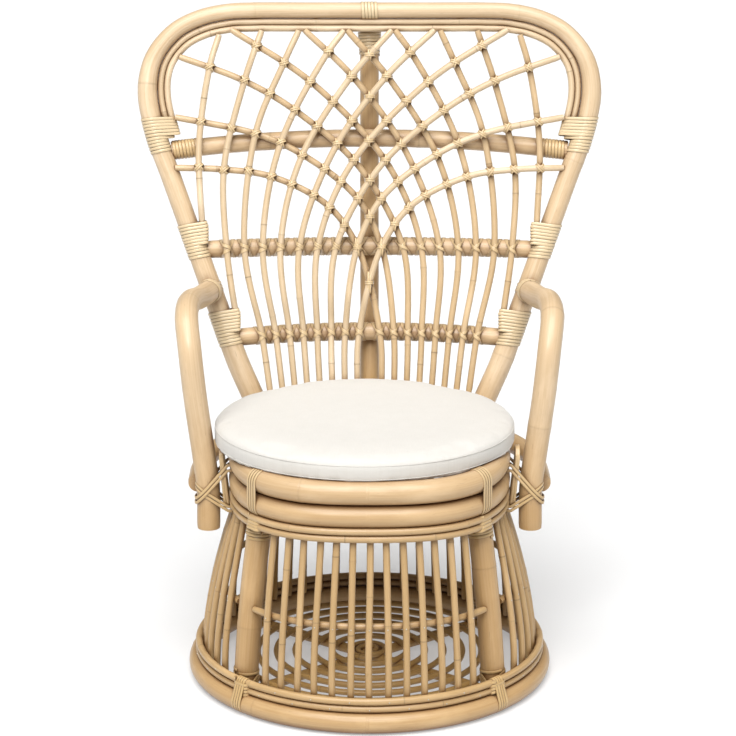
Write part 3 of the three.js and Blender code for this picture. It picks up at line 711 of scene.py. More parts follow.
def rail_tie(bundle, cane, rail):
    """An X of strips drawn tight over a cane and round the rail behind it; both are (spot, way, radius)."""
    spot, rail_way, rail_radius = rail
    cane_spot, cane_way, cane_radius = cane
    front = unit(BACK_FRONT - rail_way * rail_way.dot(BACK_FRONT))
    up = np.cross(rail_way, front)
    up = up * np.sign(up[2])
    slope = cane_way.dot(rail_way) / cane_way.dot(up)
    # Twice round the rail: one arm of the X in each turn, and a straight pass behind the rail after each
    angles = np.linspace(-math.pi / 2, 3.5 * math.pi, 4 * STRIP_STEPS, endpoint=False)
    cosines, sines = np.cos(angles), np.sin(angles)
    turned = angles > 1.5 * math.pi
    sign = np.where(turned, -1, 1)
    in_front = cosines > 0
    lean = np.where(in_front, sign * sines, sign) * RAIL_TIE_REACH
    drop = sines * rail_radius * slope
    lift = TIE_LIFT + np.where(turned & in_front, TIE_THICKNESS * cosines, 0)
    heading = cosines[:, None] * front + sines[:, None] * up
    beside = unit(np.cross(front, cane_way))
    bump = (cane_spot - spot).dot(front) + cane_radius - rail_radius
    for strand in STRANDS:
        shift = lean + drop + strand * RAIL_TIE_WIDTH * STRAND_SPACING
        where = spot + shift[:, None] * rail_way + rail_radius * heading
        aside = np.abs((where - cane_spot) @ beside) / cane_radius
        where += (bump * np.clip(LIFT_REACH - aside, 0, 1) * in_front)[:, None] * front
        for _ in range(TIGHTENING):
            middles = (np.roll(where, 1, axis=0) + np.roll(where, -1, axis=0)) / 2
            where = np.where(in_front[:, None], middles, where)
            normals = np.zeros_like(where)
            for rod_spot, rod_way, radius in (rail, cane):
                out = where - rod_spot
                out = out - (out @ rod_way)[:, None] * rod_way
                gap = np.linalg.norm(out, axis=1)
                where = where + out * np.maximum(0, (radius + lift) / gap - 1)[:, None]
                near = FACE_REACH / (FACE_REACH + np.maximum(0, gap - radius - lift))
                normals += out / gap[:, None] * near[:, None]
        normals = smoothed(normals, loop_ways(where), RAIL_TIE_PASSES)
        strip(bundle, where, normals, RAIL_TIE_WIDTH, TIE_THICKNESS, closed=True)


def stand_point(radius, turn, share, foot):
    """A point on an upright of the drum, at a share of its way from foot to head."""
    top = seat_plan(turn, SEAT_HOOP_OUTWARD - HOOP_RADIUS - radius)
    bottom = base_plan(turn, -HOOP_RADIUS - radius)
    size = math.hypot(*bottom)
    flare = (size + SPINDLE_FLARE) / size
    early, late = (1 - share) ** 2, share**2
    bend = 2 * share * (1 - share)
    head = SEAT_HOOP_HEIGHTS[1]
    knee = foot + SPINDLE_FLARE_SHARE * (head - foot)
    x = early * bottom[0] + bend * bottom[0] * flare + late * top[0]
    y = early * bottom[1] + bend * bottom[1] * flare + late * top[1]
    return np.array([x, y, early * foot + bend * knee + late * head])


def stand_tip(before, head):
    run = head - before
    return head + run * (SEAT_RING_HEIGHTS[1] - SEAT_POLE_RADIUS - head[2]) / run[2]


def leg_path(turn):
    foot = stand_point(LEG_RADIUS, turn, 0, LEG_FOOT)
    head = stand_point(LEG_RADIUS, turn, 1, LEG_FOOT)
    middle = (foot + head) / 2
    tip = stand_tip(middle, head)
    outward = unit([middle[0], middle[1], 0]) * LEG_BOW
    return curve([foot, middle + outward, head, tip])


def post_half(v):
    return np.minimum(POST_FOOT_HALF + POST_SPLAY * v, FRAME_HALF_WIDTH)


def frame_points():
    """Half of the back frame in its plane, from the post over the corner to the top."""
    points = [(POST_FOOT_HALF + POST_SPLAY * v, v) for v in POST_STATIONS]
    rise = FRAME_TOP - FRAME_SHOULDER
    start = FRAME_HALF_WIDTH - FRAME_CORNER_RUN
    for turn in FRAME_CORNER_TURNS:
        angle = math.radians(turn)
        total = (math.cos(angle) / FRAME_CORNER_RUN) ** FRAME_ROUNDNESS
        total += (math.sin(angle) / rise) ** FRAME_ROUNDNESS
        reach = total ** (-1 / FRAME_ROUNDNESS)
        points.append((start + reach * math.cos(angle), FRAME_SHOULDER + reach * math.sin(angle)))
    points.append((start / 2, FRAME_TOP))
    return points


def frame_path(side):
    seat = seat_plan(POST_TURN, SEAT_POLE_RADIUS + FRAME_RADIUS)
    points = [(side * seat[0], seat[1], z) for z in (POST_END_HEIGHT, POST_BEND_HEIGHT)]
    points.append(on_back(side * post_half(POST_BASE), POST_BASE, 0))
    points += [on_back(side * u, v, 0) for u, v in frame_points()]
    points.append(on_back(side * FRAME_JOINT_GAP / 2, FRAME_TOP, 0))
    return curve(points)


def frame_radius(v):
    """The frame's pole at a height up the back: thick in the post and slim over the top."""
    return np.interp(v, [POST_BASE, POST_TAPER_TOP, FRAME_SHOULDER, FRAME_TOP],
                     [POST_RADIUS, FRAME_RADIUS, FRAME_RADIUS, FRAME_TIP_RADIUS])


def height_up_back(points):
    return (points[..., 2] - BACK_FOOT_Z) / math.cos(RECLINE)


def hoop_curve(gap):
    """A hoop nested in the frame, its line a gap inside the pole's skin, from right to left."""
    half = frame_points()
    plan = curve([(u, v, 0) for u, v in half] + [(0, FRAME_TOP, 0)] + [(-u, v, 0) for u, v in half[::-1]])
    ways = tangents(plan)
    inset = frame_radius(plan[:, 1]) + gap
    return plan + inset[:, None] * np.stack([-ways[:, 1], ways[:, 0], ways[:, 2]], axis=-1)


RAIL_SLANT = math.hypot(1, POST_SPLAY)


def rail_spot(name, u):
    """A rail's height and depth at a place across the back."""
    height, arch, bow = RAILS[name]
    swell = 1 - (u / (post_half(height - RAIL_RADIUS) - RAIL_BOW_INSET * RAIL_SLANT)) ** 2
    return height + arch * swell, RAIL_END_DEPTH + bow * swell


def rail_path(name):
    reach = post_half(RAILS[name][0]) - RAIL_END_INSET * RAIL_SLANT
    return curve([on_back(u, *rail_spot(name, u)) for u in np.linspace(-reach, reach, RAIL_STATIONS)])


def lattice_depth(u, v):
    """Depth of the rear layer: it lies on the rails and on the front of the inner hoop."""
    hoop = (FRAME_TOP - FRAME_TIP_RADIUS - BACK_HOOP_GAPS[1], 0, 0)
    heights, arches, bows = np.array([RAILS["middle"], RAILS["upper"], hoop]).T
    bow = np.interp(v, heights + arches, bows)
    half = post_half(v) - RAIL_BOW_INSET * RAIL_SLANT
    on_rail = RAIL_END_DEPTH - RAIL_RADIUS - LATTICE_RADIUS - CANE_CLEARANCE
    return on_rail + bow * np.maximum(0, 1 - (u / half) ** 2)


def cane_plan(index):
    """The route of one cane in the plane of the back, for the family that leans to the left."""
    points = []
    if index < FULL_CANES:
        points.append((FOOT_FIRST + FOOT_PITCH * index, LATTICE_FOOT))
        points.append((LOWER_FIRST + LOWER_PITCH * index, RAILS["lower"][0] + RAILS["lower"][1] / 2))
    else:
        points.append(SHORT_CANE_FEET[index - FULL_CANES])
    if index < len(MIDDLE_CROSSINGS):
        points.append((MIDDLE_CROSSINGS[index], RAILS["middle"][0] + RAILS["middle"][1] / 2))
    points += CANE_KNEES[index]
    points.append(CANE_ENDS[index])
    route = curve([(u, v, 0) for u, v in points])
    total = lengths(route)[-1]
    return at(route, np.linspace(0, total - CANE_END_CUT, int(total / CANE_STEP)))


def lattice_route(index, side):
    """Plan points (u, v) and the points in space of one cane; the left family lies in front."""
    plan = cane_plan(index)
    rise_start = RAILS["lower"][0] + RAIL_RADIUS
    run = lengths(plan)
    # The front family comes forward above the lower rail, and its ends bend back onto the hoop
    share = np.minimum((plan[:, 1] - rise_start) / LATTICE_RISE, (run[-1] - run) / LATTICE_END_RUN)
    if index >= FULL_CANES:
        share = np.minimum(share, run / LATTICE_END_RUN)
    share = np.clip(share, 0, 1)
    forward = LATTICE_LAYER * share * share * (3 - 2 * share) if side < 0 else 0
    depth = lattice_depth(plan[:, 0], plan[:, 1]) - forward
    u = side * plan[:, 0]
    return np.stack([u, plan[:, 1]], axis=-1), on_back(u, plan[:, 1], depth)


def arm_path(side):
    join = on_back(post_half(ARM_JOIN_HEIGHT), ARM_JOIN_HEIGHT, -ARM_JOIN_DEPTH)
    points = [join, *ARM_PATH, (*ARM_SEAT, REAR_RAIL_HEIGHT), (*ARM_SEAT, ARM_END_HEIGHT)]
    return curve([(side * x, y, z) for x, y, z in points])


class Paint:
    """A material, with short ways to add nodes before its shader."""

    def __init__(self, name):
        self.material = bpy.data.materials.new(name)
        self.material.use_nodes = True
        self.nodes = self.material.node_tree.nodes
        self.links = self.material.node_tree.links
        self.shader = self.nodes["Principled BSDF"]

    def put(self, target, value):
        """Links an input to another node's output, or sets it to a constant."""
        if isinstance(value, bpy.types.NodeSocket):
            self.links.new(value, target)
        else:
            target.default_value = value

    def feed(self, node, **values):
        for name, value in values.items():
            self.put(node.inputs[name.replace("_", " ")], value)

    def add(self, kind, **values):
        node = self.nodes.new(f"ShaderNode{kind}")
        self.feed(node, **values)
        return node

    def attribute(self, name):
        node = self.add("Attribute")
        node.attribute_name = name
        return node.outputs["Vector"]

    def noise(self, **values):
        return self.add("TexNoise", **values).outputs["Fac"]

    def maths(self, operation, first, second):
        node = self.add("Math")
        node.operation = operation
        self.put(node.inputs[0], first)
        self.put(node.inputs[1], second)
        return node.outputs[0]

    def spread(self, value, low, high, start=0.0, end=1.0):
        """A value stretched from one range to another."""
        node = self.add("MapRange", Value=value, From_Min=low, From_Max=high, To_Min=start, To_Max=end)
        return node.outputs["Result"]

    def mixed(self, factor, first, second, blend="MIX"):
        node = self.add("Mix")
        node.data_type = "RGBA"
        node.blend_type = blend
        self.links.new(factor, node.inputs["Factor"])
        targets = [target for target in node.inputs if target.type == "RGBA"]
        for target, value in zip(targets, (first, second)):
            self.put(target, (*value, 1) if isinstance(value, tuple) else value)
        return [result for result in node.outputs if result.type == "RGBA"][0]

    def ramp(self, factor, *stops):
        node = self.add("ValToRGB", Fac=factor)
        for element, (position, colour) in zip(node.color_ramp.elements, stops):
            element.position = position
            element.color = (*colour, 1)
        return node.outputs["Color"]

    def bump(self, height, strength, distance):
        node = self.add("Bump", Height=height, Strength=strength, Distance=distance)
        return node.outputs["Normal"]


def toned(colour, factor, lift=0.0):
    return tuple(factor * c + lift for c in colour)


# Grain of the rattan to a metre, along and across, and its detail
PATCHES = (5, 45, 3)
CLOUDS = (9, 30, 4)
FIBRE_RUN, FIBRE_DETAIL = 7, 5
FLECK_RUN, FLECK_FINENESS, FLECK_DETAIL = 55, 1.6, 2
# Tones made from a cane's own: clouds, whole canes, flecks, and growth rings together with the painted shade
# at strip edges
CLOUD_TONE, CLOUD_LIFT, CANE_TONE, FLECK_TONE, RING_AND_EDGE_TONE = 1.18, 0.05, 0.92, 0.5, 0.34


def rattan(name, light, dark, warm, gloss, streak, knuckle_or_edge_shade):
    """Peeled rattan: lengthwise grain, patches of tone, dark growth rings and a satin varnish, with painted
    shade low down, on what lies behind or inside, in narrow gaps and at the edges of strips.
    """
    paint = Paint(name)
    spread = paint.spread
    mixed = paint.mixed
    place = paint.attribute("place")
    mark, tone, shaded = paint.add("SeparateXYZ", Vector=paint.attribute("look")).outputs

    def grain(along, across, detail):
        mapping = paint.add("Mapping", Vector=place, Scale=(along, across, across))
        return paint.noise(Vector=mapping.outputs["Vector"], Scale=1.0, Detail=detail, Roughness=0.6)

    fibres = grain(FIBRE_RUN, streak, FIBRE_DETAIL)
    patches = grain(*PATCHES)
    flecks = grain(FLECK_RUN, streak * FLECK_FINENESS, FLECK_DETAIL)
    clouds = grain(*CLOUDS)
    colour = mixed(spread(fibres, 0.32, 0.72), dark, light)
    colour = mixed(spread(patches, 0.42, 0.75, 0, 0.55), colour, warm)
    colour = mixed(spread(clouds, 0.5, 0.74, 0, 0.6), colour, toned(light, CLOUD_TONE, CLOUD_LIFT))
    colour = mixed(spread(tone, 0, 1, 0, 0.6), colour, toned(warm, CANE_TONE))
    colour = mixed(spread(flecks, 0.66, 0.78, 0, 0.5), colour, toned(dark, FLECK_TONE))
    # Dark growth rings; on strips the same mark is painted shade at their edges
    ring_mark_or_edge_shade = paint.maths("MULTIPLY", mark, spread(patches, 0.2, 0.7, 0.35 * knuckle_or_edge_shade, knuckle_or_edge_shade))
    colour = mixed(ring_mark_or_edge_shade, colour, toned(dark, RING_AND_EDGE_TONE))
    # Painted shade: darker low down and on what lies behind or inside
    colour = mixed(shaded, colour, PAINTED_SHADE, "MULTIPLY")
    # Painted shade in narrow gaps, from ambient occlusion
    gap_shade = paint.add("AmbientOcclusion", Distance=CREVICE_REACH)
    gap_shade.samples = CREVICE_SAMPLES
    colour = mixed(spread(gap_shade.outputs["AO"], 0.35, 0.9, CREVICE_DEPTH, 0), colour, CREVICE_SHADE, "MULTIPLY")
    roughness = spread(fibres, 0.3, 0.75, gloss + 0.12, gloss)
    paint.feed(paint.shader, Base_Color=colour, Roughness=roughness, Normal=paint.bump(fibres, 0.22, 0.0006))
    paint.feed(paint.shader, Coat_Weight=0.16, Coat_Roughness=0.2, Specular_IOR_Level=0.38)
    return paint.material


# Threads of the cloth to a metre, uneven spots along them, and patches over the whole
THREADS = 700
SLUBS = 45
CLOTH_PATCHES = 38.0


def canvas(name):
    """Off-white plain weave with uneven threads."""
    paint = Paint(name)
    spots = paint.add("TexCoord").outputs["Object"]
    threads = []
    for stretch in ((THREADS, SLUBS, 0), (SLUBS, THREADS, 0)):
        stretched = paint.add("VectorMath")
        stretched.operation = "MULTIPLY"
        paint.put(stretched.inputs[0], spots)
        paint.put(stretched.inputs[1], stretch)
        threads.append(paint.noise(Vector=stretched.outputs[0], Scale=1.0, Detail=2.0))
    patches = paint.noise(Vector=spots, Scale=CLOTH_PATCHES, Detail=6.0, Roughness=0.62)
    height = paint.maths("ADD", paint.maths("ADD", *threads), patches)
    share = paint.maths("MULTIPLY", height, 0.25)
    colour = paint.ramp(share, (0.2, (0.52, 0.5, 0.462)), (0.75, (0.6, 0.583, 0.55)))
    paint.feed(paint.shader, Base_Color=colour, Normal=paint.bump(height, 0.4, 0.0004))
    paint.feed(paint.shader, Roughness=0.93, Sheen_Weight=0.25, Sheen_Roughness=0.5, Specular_IOR_Level=0.2)
    return paint.material


def metal(name):
    paint = Paint(name)
    spots = paint.noise(Scale=900.0, Detail=3.0)
    colour = paint.ramp(spots, (0, (0.42, 0.37, 0.28)), (1, (0.62, 0.58, 0.5)))
    paint.feed(paint.shader, Base_Color=colour, Metallic=0.75, Roughness=0.4)
    return paint.material


POLE_TONES = ((0.6, 0.465, 0.31), (0.47, 0.33, 0.19), (0.54, 0.385, 0.225))
CANE_TONES = ((0.61, 0.485, 0.335), (0.47, 0.345, 0.205), (0.53, 0.395, 0.24))
STRIP_TONES = ((0.67, 0.545, 0.36), (0.545, 0.41, 0.24), (0.61, 0.47, 0.285))
# The last number darkens the growth rings; on strips it darkens their edges as painted shade
pole_skin = rattan("rattan_pole", *POLE_TONES, gloss=0.34, streak=330, knuckle_or_edge_shade=0.45)
cane_skin = rattan("rattan_cane", *CANE_TONES, gloss=0.32, streak=560, knuckle_or_edge_shade=0.95)
strip_skin = rattan("rattan_strip", *STRIP_TONES, gloss=0.24, streak=900, knuckle_or_edge_shade=0.5)
cloth_skin = canvas("cushion_canvas")
nail_skin = metal("nail_metal")


def rod(name, points, radius, detail, thick=False, closed=False, up=None, shade=0.0, node=None):
    """One pole or cane as a piece of its own; its node has the same name unless another is given."""
    bundle = Bundle(shade)
    pole(bundle, points, radius, detail, thick, closed, up)
    kind, skin = ("pole", pole_skin) if thick else ("cane", cane_skin)
    bundle.build(f"{kind}_{name}", skin, kind, node or name)


def make_base():
    path = ring_path(base_plan, 0, BASE_POLE_RADIUS)
    rod("base_ring", path, BASE_POLE_RADIUS, "base_ring", True, True, UPRIGHT)
    for level, height in zip(("lower", "upper"), BASE_HOOP_HEIGHTS):
        path = ring_path(base_plan, 0, height)
        rod(f"base_hoop_{level}", path, HOOP_RADIUS, "base_hoop", False, True, UPRIGHT)


LEG_TURNS = {
    "front_left": -LEG_TURN,
    "front_right": LEG_TURN,
    "rear_left": LEG_TURN - 180,
    "rear_right": 180 - LEG_TURN,
}


def make_legs():
    for place, turn in LEG_TURNS.items():
        rod(f"leg_{place}", leg_path(turn), LEG_RADIUS, "leg", True)


def spindle_turns(middle, count, pitch):
    return [middle + (i - (count - 1) / 2) * pitch for i in range(count)]


def spindle_path(turn):
    shares = np.linspace(0, 1, SPINDLE_POINTS)
    points = [stand_point(SPINDLE_RADIUS, turn, share, SPINDLE_FOOT) for share in shares]
    points.append(stand_tip(points[-2], points[-1]))
    path = curve(points)
    share = np.linspace(0, math.pi, len(path))
    sway = sum(np.sin(bows * share) * dice.normal(0, size) for bows, size in enumerate(SPINDLE_SWAYS, 1))
    way = unit([-points[0][1], points[0][0], 0])
    return path + sway[:, None] * way


def waist_spot(turn, inward):
    """The place where an upright passes the waist height, moved inward."""
    shares = np.linspace(0, 1, UPRIGHT_POINTS)
    points = np.array([stand_point(SPINDLE_RADIUS, turn, share, SPINDLE_FOOT) for share in shares])
    spot = sampled(points[:, 2], points, [WAIST_HEIGHT])[0]
    outward = unit([spot[0], spot[1], 0])
    return spot - inward * outward, outward


def dome(bundle, spot, facing):
    """A nail's domed head."""
    facing = unit(facing)
    across = unit(np.cross(facing, NAIL_SLANT))
    beside = np.cross(facing, across)
    angles = np.linspace(0, math.tau, NAIL_SIDES, endpoint=False)
    ring = np.cos(angles)[:, None] * across + np.sin(angles)[:, None] * beside
    rows = np.stack([spot + NAIL_RADIUS * reach * ring + NAIL_RADIUS * rise * facing
                     for reach, rise in NAIL_PROFILE])
    bundle.grid(rows, np.zeros(rows.shape), np.zeros(rows.shape))


def make_spindles(nails):
    leg_half_turn = math.degrees((LEG_RADIUS + LEG_CLEARANCE) / (BASE_RING_RADIUS - 2 * LEG_RADIUS))
    panels = {"front": (0, *FRONT_SPINDLES), "right": (90, *SIDE_SPINDLES),
              "rear": (180, *FRONT_SPINDLES), "left": (270, *SIDE_SPINDLES)}
    for place, (middle, count, pitch) in panels.items():
        panel = Bundle(INSIDE_SHADE if place == "rear" else 0)
        for order, turn in enumerate(spindle_turns(middle, count, pitch)):
            pole(panel, spindle_path(turn), SPINDLE_RADIUS, "spindle")
            spot, outward = waist_spot(turn, -SPINDLE_RADIUS)
            dome(nails, spot, outward)
            x, y = base_plan(turn, HOOP_RADIUS)
            dome(nails, np.array([x, y, BASE_HOOP_HEIGHTS[order % 2]]), (x, y, 0))
        reach = (LEG_TURN if place in ("front", "rear") else 90 - LEG_TURN) - leg_half_turn
        inward = SPINDLE_RADIUS + WAIST_RADIUS - WAIST_SINK
        turns = np.linspace(middle - reach, middle + reach, WAIST_POINTS)
        waist = [waist_spot(turn, inward)[0] for turn in turns]
        pole(panel, curve(waist), WAIST_RADIUS, "waist")
        panel.build(f"cane_spindles_{place}", cane_skin, "cane", f"spindle_panel_{place}")


def make_floor():
    floor = Bundle(INSIDE_SHADE)
    middle = BASE_POLE_RADIUS * UPRIGHT
    for turn in (LEG_TURN, -LEG_TURN):
        angle = math.radians(turn)
        end = BRACE_REACH * np.array([math.sin(angle), -math.cos(angle), 0])
        pole(floor, np.array([middle + end, middle, middle - end]), BRACE_RADIUS, "brace")
    for radius in FLOOR_RINGS:
        path = ring_path(partial(oval, radius, radius, 2), 0, FLOOR_HEIGHT)
        pole(floor, path, FLOOR_CANE_RADIUS, "floor_ring", False, True, UPRIGHT)
    angles = np.linspace(0, math.tau * COIL_TURNS, COIL_STEPS * COIL_TURNS)
    reach = COIL_START + COIL_PITCH * angles / math.tau
    height = np.full_like(reach, FLOOR_HEIGHT)
    coil = np.stack([reach * np.sin(angles), -reach * np.cos(angles), height], axis=-1)
    pole(floor, coil, FLOOR_CANE_RADIUS, "coil")
    floor.build("cane_floor_scroll", cane_skin, "cane", "floor_scroll")


def make_seat():
    for level, height in zip(("upper", "lower"), SEAT_RING_HEIGHTS):
        path = ring_path(seat_plan, 0, height)
        rod(f"seat_ring_{level}", path, SEAT_POLE_RADIUS, "seat_ring", True, True, UPRIGHT)
    for level, height in zip(("upper", "lower"), SEAT_HOOP_HEIGHTS):
        path = ring_path(seat_plan, SEAT_HOOP_OUTWARD, height)
        rod(f"seat_hoop_{level}", path, HOOP_RADIUS, "seat_hoop", False, True, UPRIGHT)
    deck = Bundle()
    inset = SEAT_POLE_RADIUS + DECK_CLEARANCE
    inside = (SEAT_HALF_WIDTH - inset, SEAT_HALF_DEPTH - inset)

    def reach_at(size, other, place):
        return size * (1 - (abs(place) / other) ** SEAT_ROUNDNESS) ** (1 / SEAT_ROUNDNESS)

    height = SEAT_TOP - 2 * SLAT_RADIUS - BEARER_RADIUS + BEARER_RISE
    for y in (-BEARER_SPREAD, BEARER_SPREAD):
        reach = reach_at(inside[0], inside[1], abs(y) + BEARER_RADIUS)
        pole(deck, np.array([(x, y, height) for x in (-reach, 0, reach)]), BEARER_RADIUS, "bearer")
    height = SEAT_TOP - SLAT_RADIUS
    for i in range(SLAT_COUNT):
        x = (i - (SLAT_COUNT - 1) / 2) * SLAT_PITCH
        reach = reach_at(inside[1], inside[0], abs(x) + SLAT_RADIUS)
        pole(deck, np.array([(x, y, height) for y in (-reach, 0, reach)]), SLAT_RADIUS, "slat")
    deck.build("cane_seat_deck", cane_skin, "cane", "seat_deck")


def rear_rail_path():
    outward = SEAT_POLE_RADIUS + 2 * FRAME_RADIUS + REAR_RAIL_RADIUS
    x, y = seat_plan(np.linspace(90, 270, REAR_RAIL_POINTS), outward)
    front = ARM_SEAT[1] + ARM_RADIUS + ARM_REAR_GAP
    points = [(x[0], front, REAR_RAIL_HEIGHT)]
    points += [(a, b, REAR_RAIL_HEIGHT) for a, b in zip(x, y)]
    points.append((x[-1], front, REAR_RAIL_HEIGHT))
    return curve(points)


def centre_post_path():
    seat_y = SEAT_HALF_DEPTH + SEAT_POLE_RADIUS + CENTRE_POST_RADIUS
    points = [(0, seat_y, z) for z in (POST_END_HEIGHT, POST_BEND_HEIGHT)]
    behind = RAIL_END_DEPTH + RAIL_RADIUS + CENTRE_POST_RADIUS
    for height, arch, bow in RAILS.values():
        points.append(on_back(0, height + arch, behind + bow))
    behind = FRAME_TIP_RADIUS + CENTRE_POST_RADIUS + POST_HEAD_GAP
    points.append(on_back(0, FRAME_TOP + FRAME_TIP_RADIUS / 2, behind))
    return curve(points)


def make_back_frame():
    rod("rear_rail", rear_rail_path(), REAR_RAIL_RADIUS, "rear_rail", True, up=UPRIGHT, node="seat_rear_rail")
    for place, side in SIDES:
        path = frame_path(side)
        total = lengths(path)[-1]

        def thickness(share, path=path, total=total):
            return frame_radius(height_up_back(at(path, share * total)))

        rod(f"back_frame_{place}", path, thickness, "frame", True)
    for place, gap in zip(("outer", "inner"), BACK_HOOP_GAPS):
        plan = hoop_curve(gap)
        plan = plan[plan[:, 1] > BACK_HOOP_END]
        rod(f"back_hoop_{place}", on_back(plan[:, 0], plan[:, 1], 0), BACK_HOOP_RADIUS, "back_hoop")
    for name in RAILS:
        node = f"back_rail_{name}"
        rod(f"rail_{name}", rail_path(name), RAIL_RADIUS, "rail", True, shade=RAIL_SHADE, node=node)
    path = centre_post_path()
    rod("centre_post", path, CENTRE_POST_RADIUS, "rail", True, shade=POST_SHADE, node="back_post")


def crossing(first, second):
    """Where two plan routes cross: the indices of the nearest points, or None."""
    gaps = np.linalg.norm(first[:, None] - second[None], axis=2)
    i, j = np.unravel_index(gaps.argmin(), gaps.shape)
    return (i, j) if gaps[i, j] < CROSSING_GAP else None


def make_lattice():
    routes = {}
    for place, side in SIDES[::-1]:
        shade = REAR_CANE_SHADE if side > 0 else 0
        for index in range(len(CANE_KNEES)):
            plan, points = lattice_route(index, side)
            routes[place, index] = plan, points, tangents(points)
            number = f"{place}_{index + 1:02d}"
            node = f"lattice_cane_{number}"
            rod(f"lattice_{number}", points, LATTICE_RADIUS, "lattice", shade=shade, node=node)
    ties = Bundle(TIE_SHADE)
    for left in range(len(CANE_KNEES)):
        front_plan, front_points, front_ways = routes["left", left]
        for right in range(len(CANE_KNEES)):
            rear_plan, rear_points, rear_ways = routes["right", right]
            found = crossing(front_plan, rear_plan)
            if found is None or front_plan[found[0], 1] < RAILS["lower"][0] + LOWEST_TIE:
                continue
            i, j = found
            if min(i, len(front_plan) - 1 - i, j, len(rear_plan) - 1 - j) < CROSSING_END_POINTS:
                continue
            front = (front_points[i], front_ways[i], LATTICE_RADIUS)
            cross_tie(ties, front, (rear_points[j], rear_ways[j], LATTICE_RADIUS))
    for name in ("lower", "middle"):
        for plan, points, ways in routes.values():
            above = plan[:, 1] - rail_spot(name, plan[:, 0])[0]
            if above[0] > 0:
                continue
            i = (above > 0).argmax()
            u = np.interp(0, above[i - 1:i + 1], plan[i - 1:i + 1, 0])
            places = (u - RAIL_STEP, u, u + RAIL_STEP)
            before, spot, after = [on_back(place, *rail_spot(name, place)) for place in places]
            rail_tie(ties, (points[i], ways[i], LATTICE_RADIUS), (spot, unit(after - before), RAIL_RADIUS))
    ties.build("strip_lattice_ties", strip_skin, "strip")


def length_at_height(path, height):
    """The length along a rising pole where it reaches a height."""
    rising = path[: path[:, 2].argmax()]
    return float(np.interp(height, rising[:, 2], lengths(rising)))


def back_height(v, w=0):
    return on_back(0, v, w)[2]


def make_back_bindings():
    rearward = -BACK_FRONT
    for place, side in SIDES:
        path = frame_path(side)
        for level, start_v in POST_BINDINGS.items():
            binding = Bundle()
            start = length_at_height(path, back_height(start_v))
            radius = frame_radius(start_v) + BINDING_GAP

            def circles_at(turn, level=level, side=side, radius=radius):
                circles = [(0, 0, radius)]
                if level == "upper":
                    gaps = [gap for gap, first in zip(BACK_HOOP_GAPS, HOOP_TURNS) if turn > first]
                    circles += [(0, side * (radius + gap), BACK_HOOP_RADIUS) for gap in gaps]
                elif turn > BULGE_TURNS[0]:
                    reach = np.interp(turn, BULGE_TURNS, [radius + shift for shift in BULGE_SHIFTS])
                    circles.append((-BULGE_FORWARD, side * reach, BULGE_RADIUS))
                return circles

            wound(binding, path, start, circles_at, POST_BINDING_TURNS, rearward, BINDING_SHEAR * side)
            binding.build(f"strip_binding_{level}_{place}", strip_skin, "strip", f"binding_{level}_{place}")
    top = Bundle()
    half = TOP_JOINT_TURNS / 2 * STRIP_PITCH
    line = np.array([on_back(u, FRAME_TOP, 0) for u in (-2 * half, 0, 2 * half)])
    wound(top, line, half, snug(FRAME_TIP_RADIUS), TOP_JOINT_TURNS, rearward)
    top.build("strip_top_joint", strip_skin, "strip", "binding_top_joint")
    ends = Bundle(RAIL_END_SHADE)
    path = rail_path("upper")
    for route in (path, path[::-1]):
        wound(ends, route, RAIL_WINDING_START, snug(RAIL_RADIUS), RAIL_END_TURNS, UPRIGHT)
    ends.build("strip_rail_ends", strip_skin, "strip")
    head = Bundle()
    post = centre_post_path()
    start = length_at_height(post, back_height(POST_HEAD_BINDING, POST_HEAD_BEHIND))

    def spreading(turn):
        return [(0, 0, CENTRE_POST_RADIUS + WINDING_GAP + POST_HEAD_SPREAD * turn)]

    wound(head, post, start, spreading, POST_HEAD_TURNS, BACK_ACROSS)
    head.build("strip_post_head", strip_skin, "strip")


def make_arms():
    for place, side in SIDES:
        path = arm_path(side)
        rod(f"arm_{place}", path, ARM_RADIUS, "arm", True)
        binding = Bundle()
        wound(binding, path, ARM_BINDING_START, snug(ARM_RADIUS), ARM_BINDING_TURNS, UPRIGHT)
        post = frame_path(side)
        middle = length_at_height(post, back_height(ARM_JOIN_HEIGHT))
        start = middle - ARM_BINDING_TURNS / 2 * STRIP_PITCH
        wound(binding, post, start, snug(frame_radius(ARM_JOIN_HEIGHT)), ARM_BINDING_TURNS, -BACK_FRONT)
        binding.build(f"strip_arm_binding_{place}", strip_skin, "strip", f"arm_binding_{place}")
        lashing = Bundle()
        lash_arm(lashing, side)
        lashing.build(f"strip_arm_lashing_{place}", strip_skin, "strip", f"arm_lashing_{place}")


def lash_arm(bundle, side):
    """Strips that tie the foot of an arm to the seat rings, crossing on the front of the arm."""
    arm_x, arm_y = ARM_SEAT
    middle = np.array([0.0, arm_y, 0.0])
    front = np.array([0.0, -1, 0])
    circles = [(arm_x, 0, ARM_RADIUS + ARM_LASH_GAP), (SEAT_HALF_WIDTH, 0, SEAT_POLE_RADIUS - ARM_LASH_PINCH)]
    ends = [SEAT_HALF_WIDTH + SEAT_POLE_RADIUS, arm_x + ARM_RADIUS]
    for inner, outer, lift in ARM_LASHINGS:
        def slope(spots, heights=(inner, outer)):
            return np.interp(spots[:, 0], ends, heights)[:, None] * UPRIGHT
        band(bundle, middle, side * BACK_ACROSS, front, circles, slope, lift)
    # Turns drawn tight between the arm and the rings, round the crossing strips
    levels = (SEAT_HOOP_HEIGHTS[1], SEAT_RING_HEIGHTS[0])
    gap_x = (arm_x - ARM_RADIUS + SEAT_HALF_WIDTH + SEAT_POLE_RADIUS) / 2
    turns = [(0, level, radius) for level, radius in zip(levels, ARM_TURN_RADII)]
    for strand in ARM_STRANDS:
        def slant(spots, strand=strand):
            shift = np.interp(spots[:, 1], levels, [place + share * strand for place, share in ARM_SHIFTS])
            return side * shift[:, None] * BACK_ACROSS
        band(bundle, np.array([side * gap_x, arm_y, 0]), front, UPRIGHT, turns, slant)


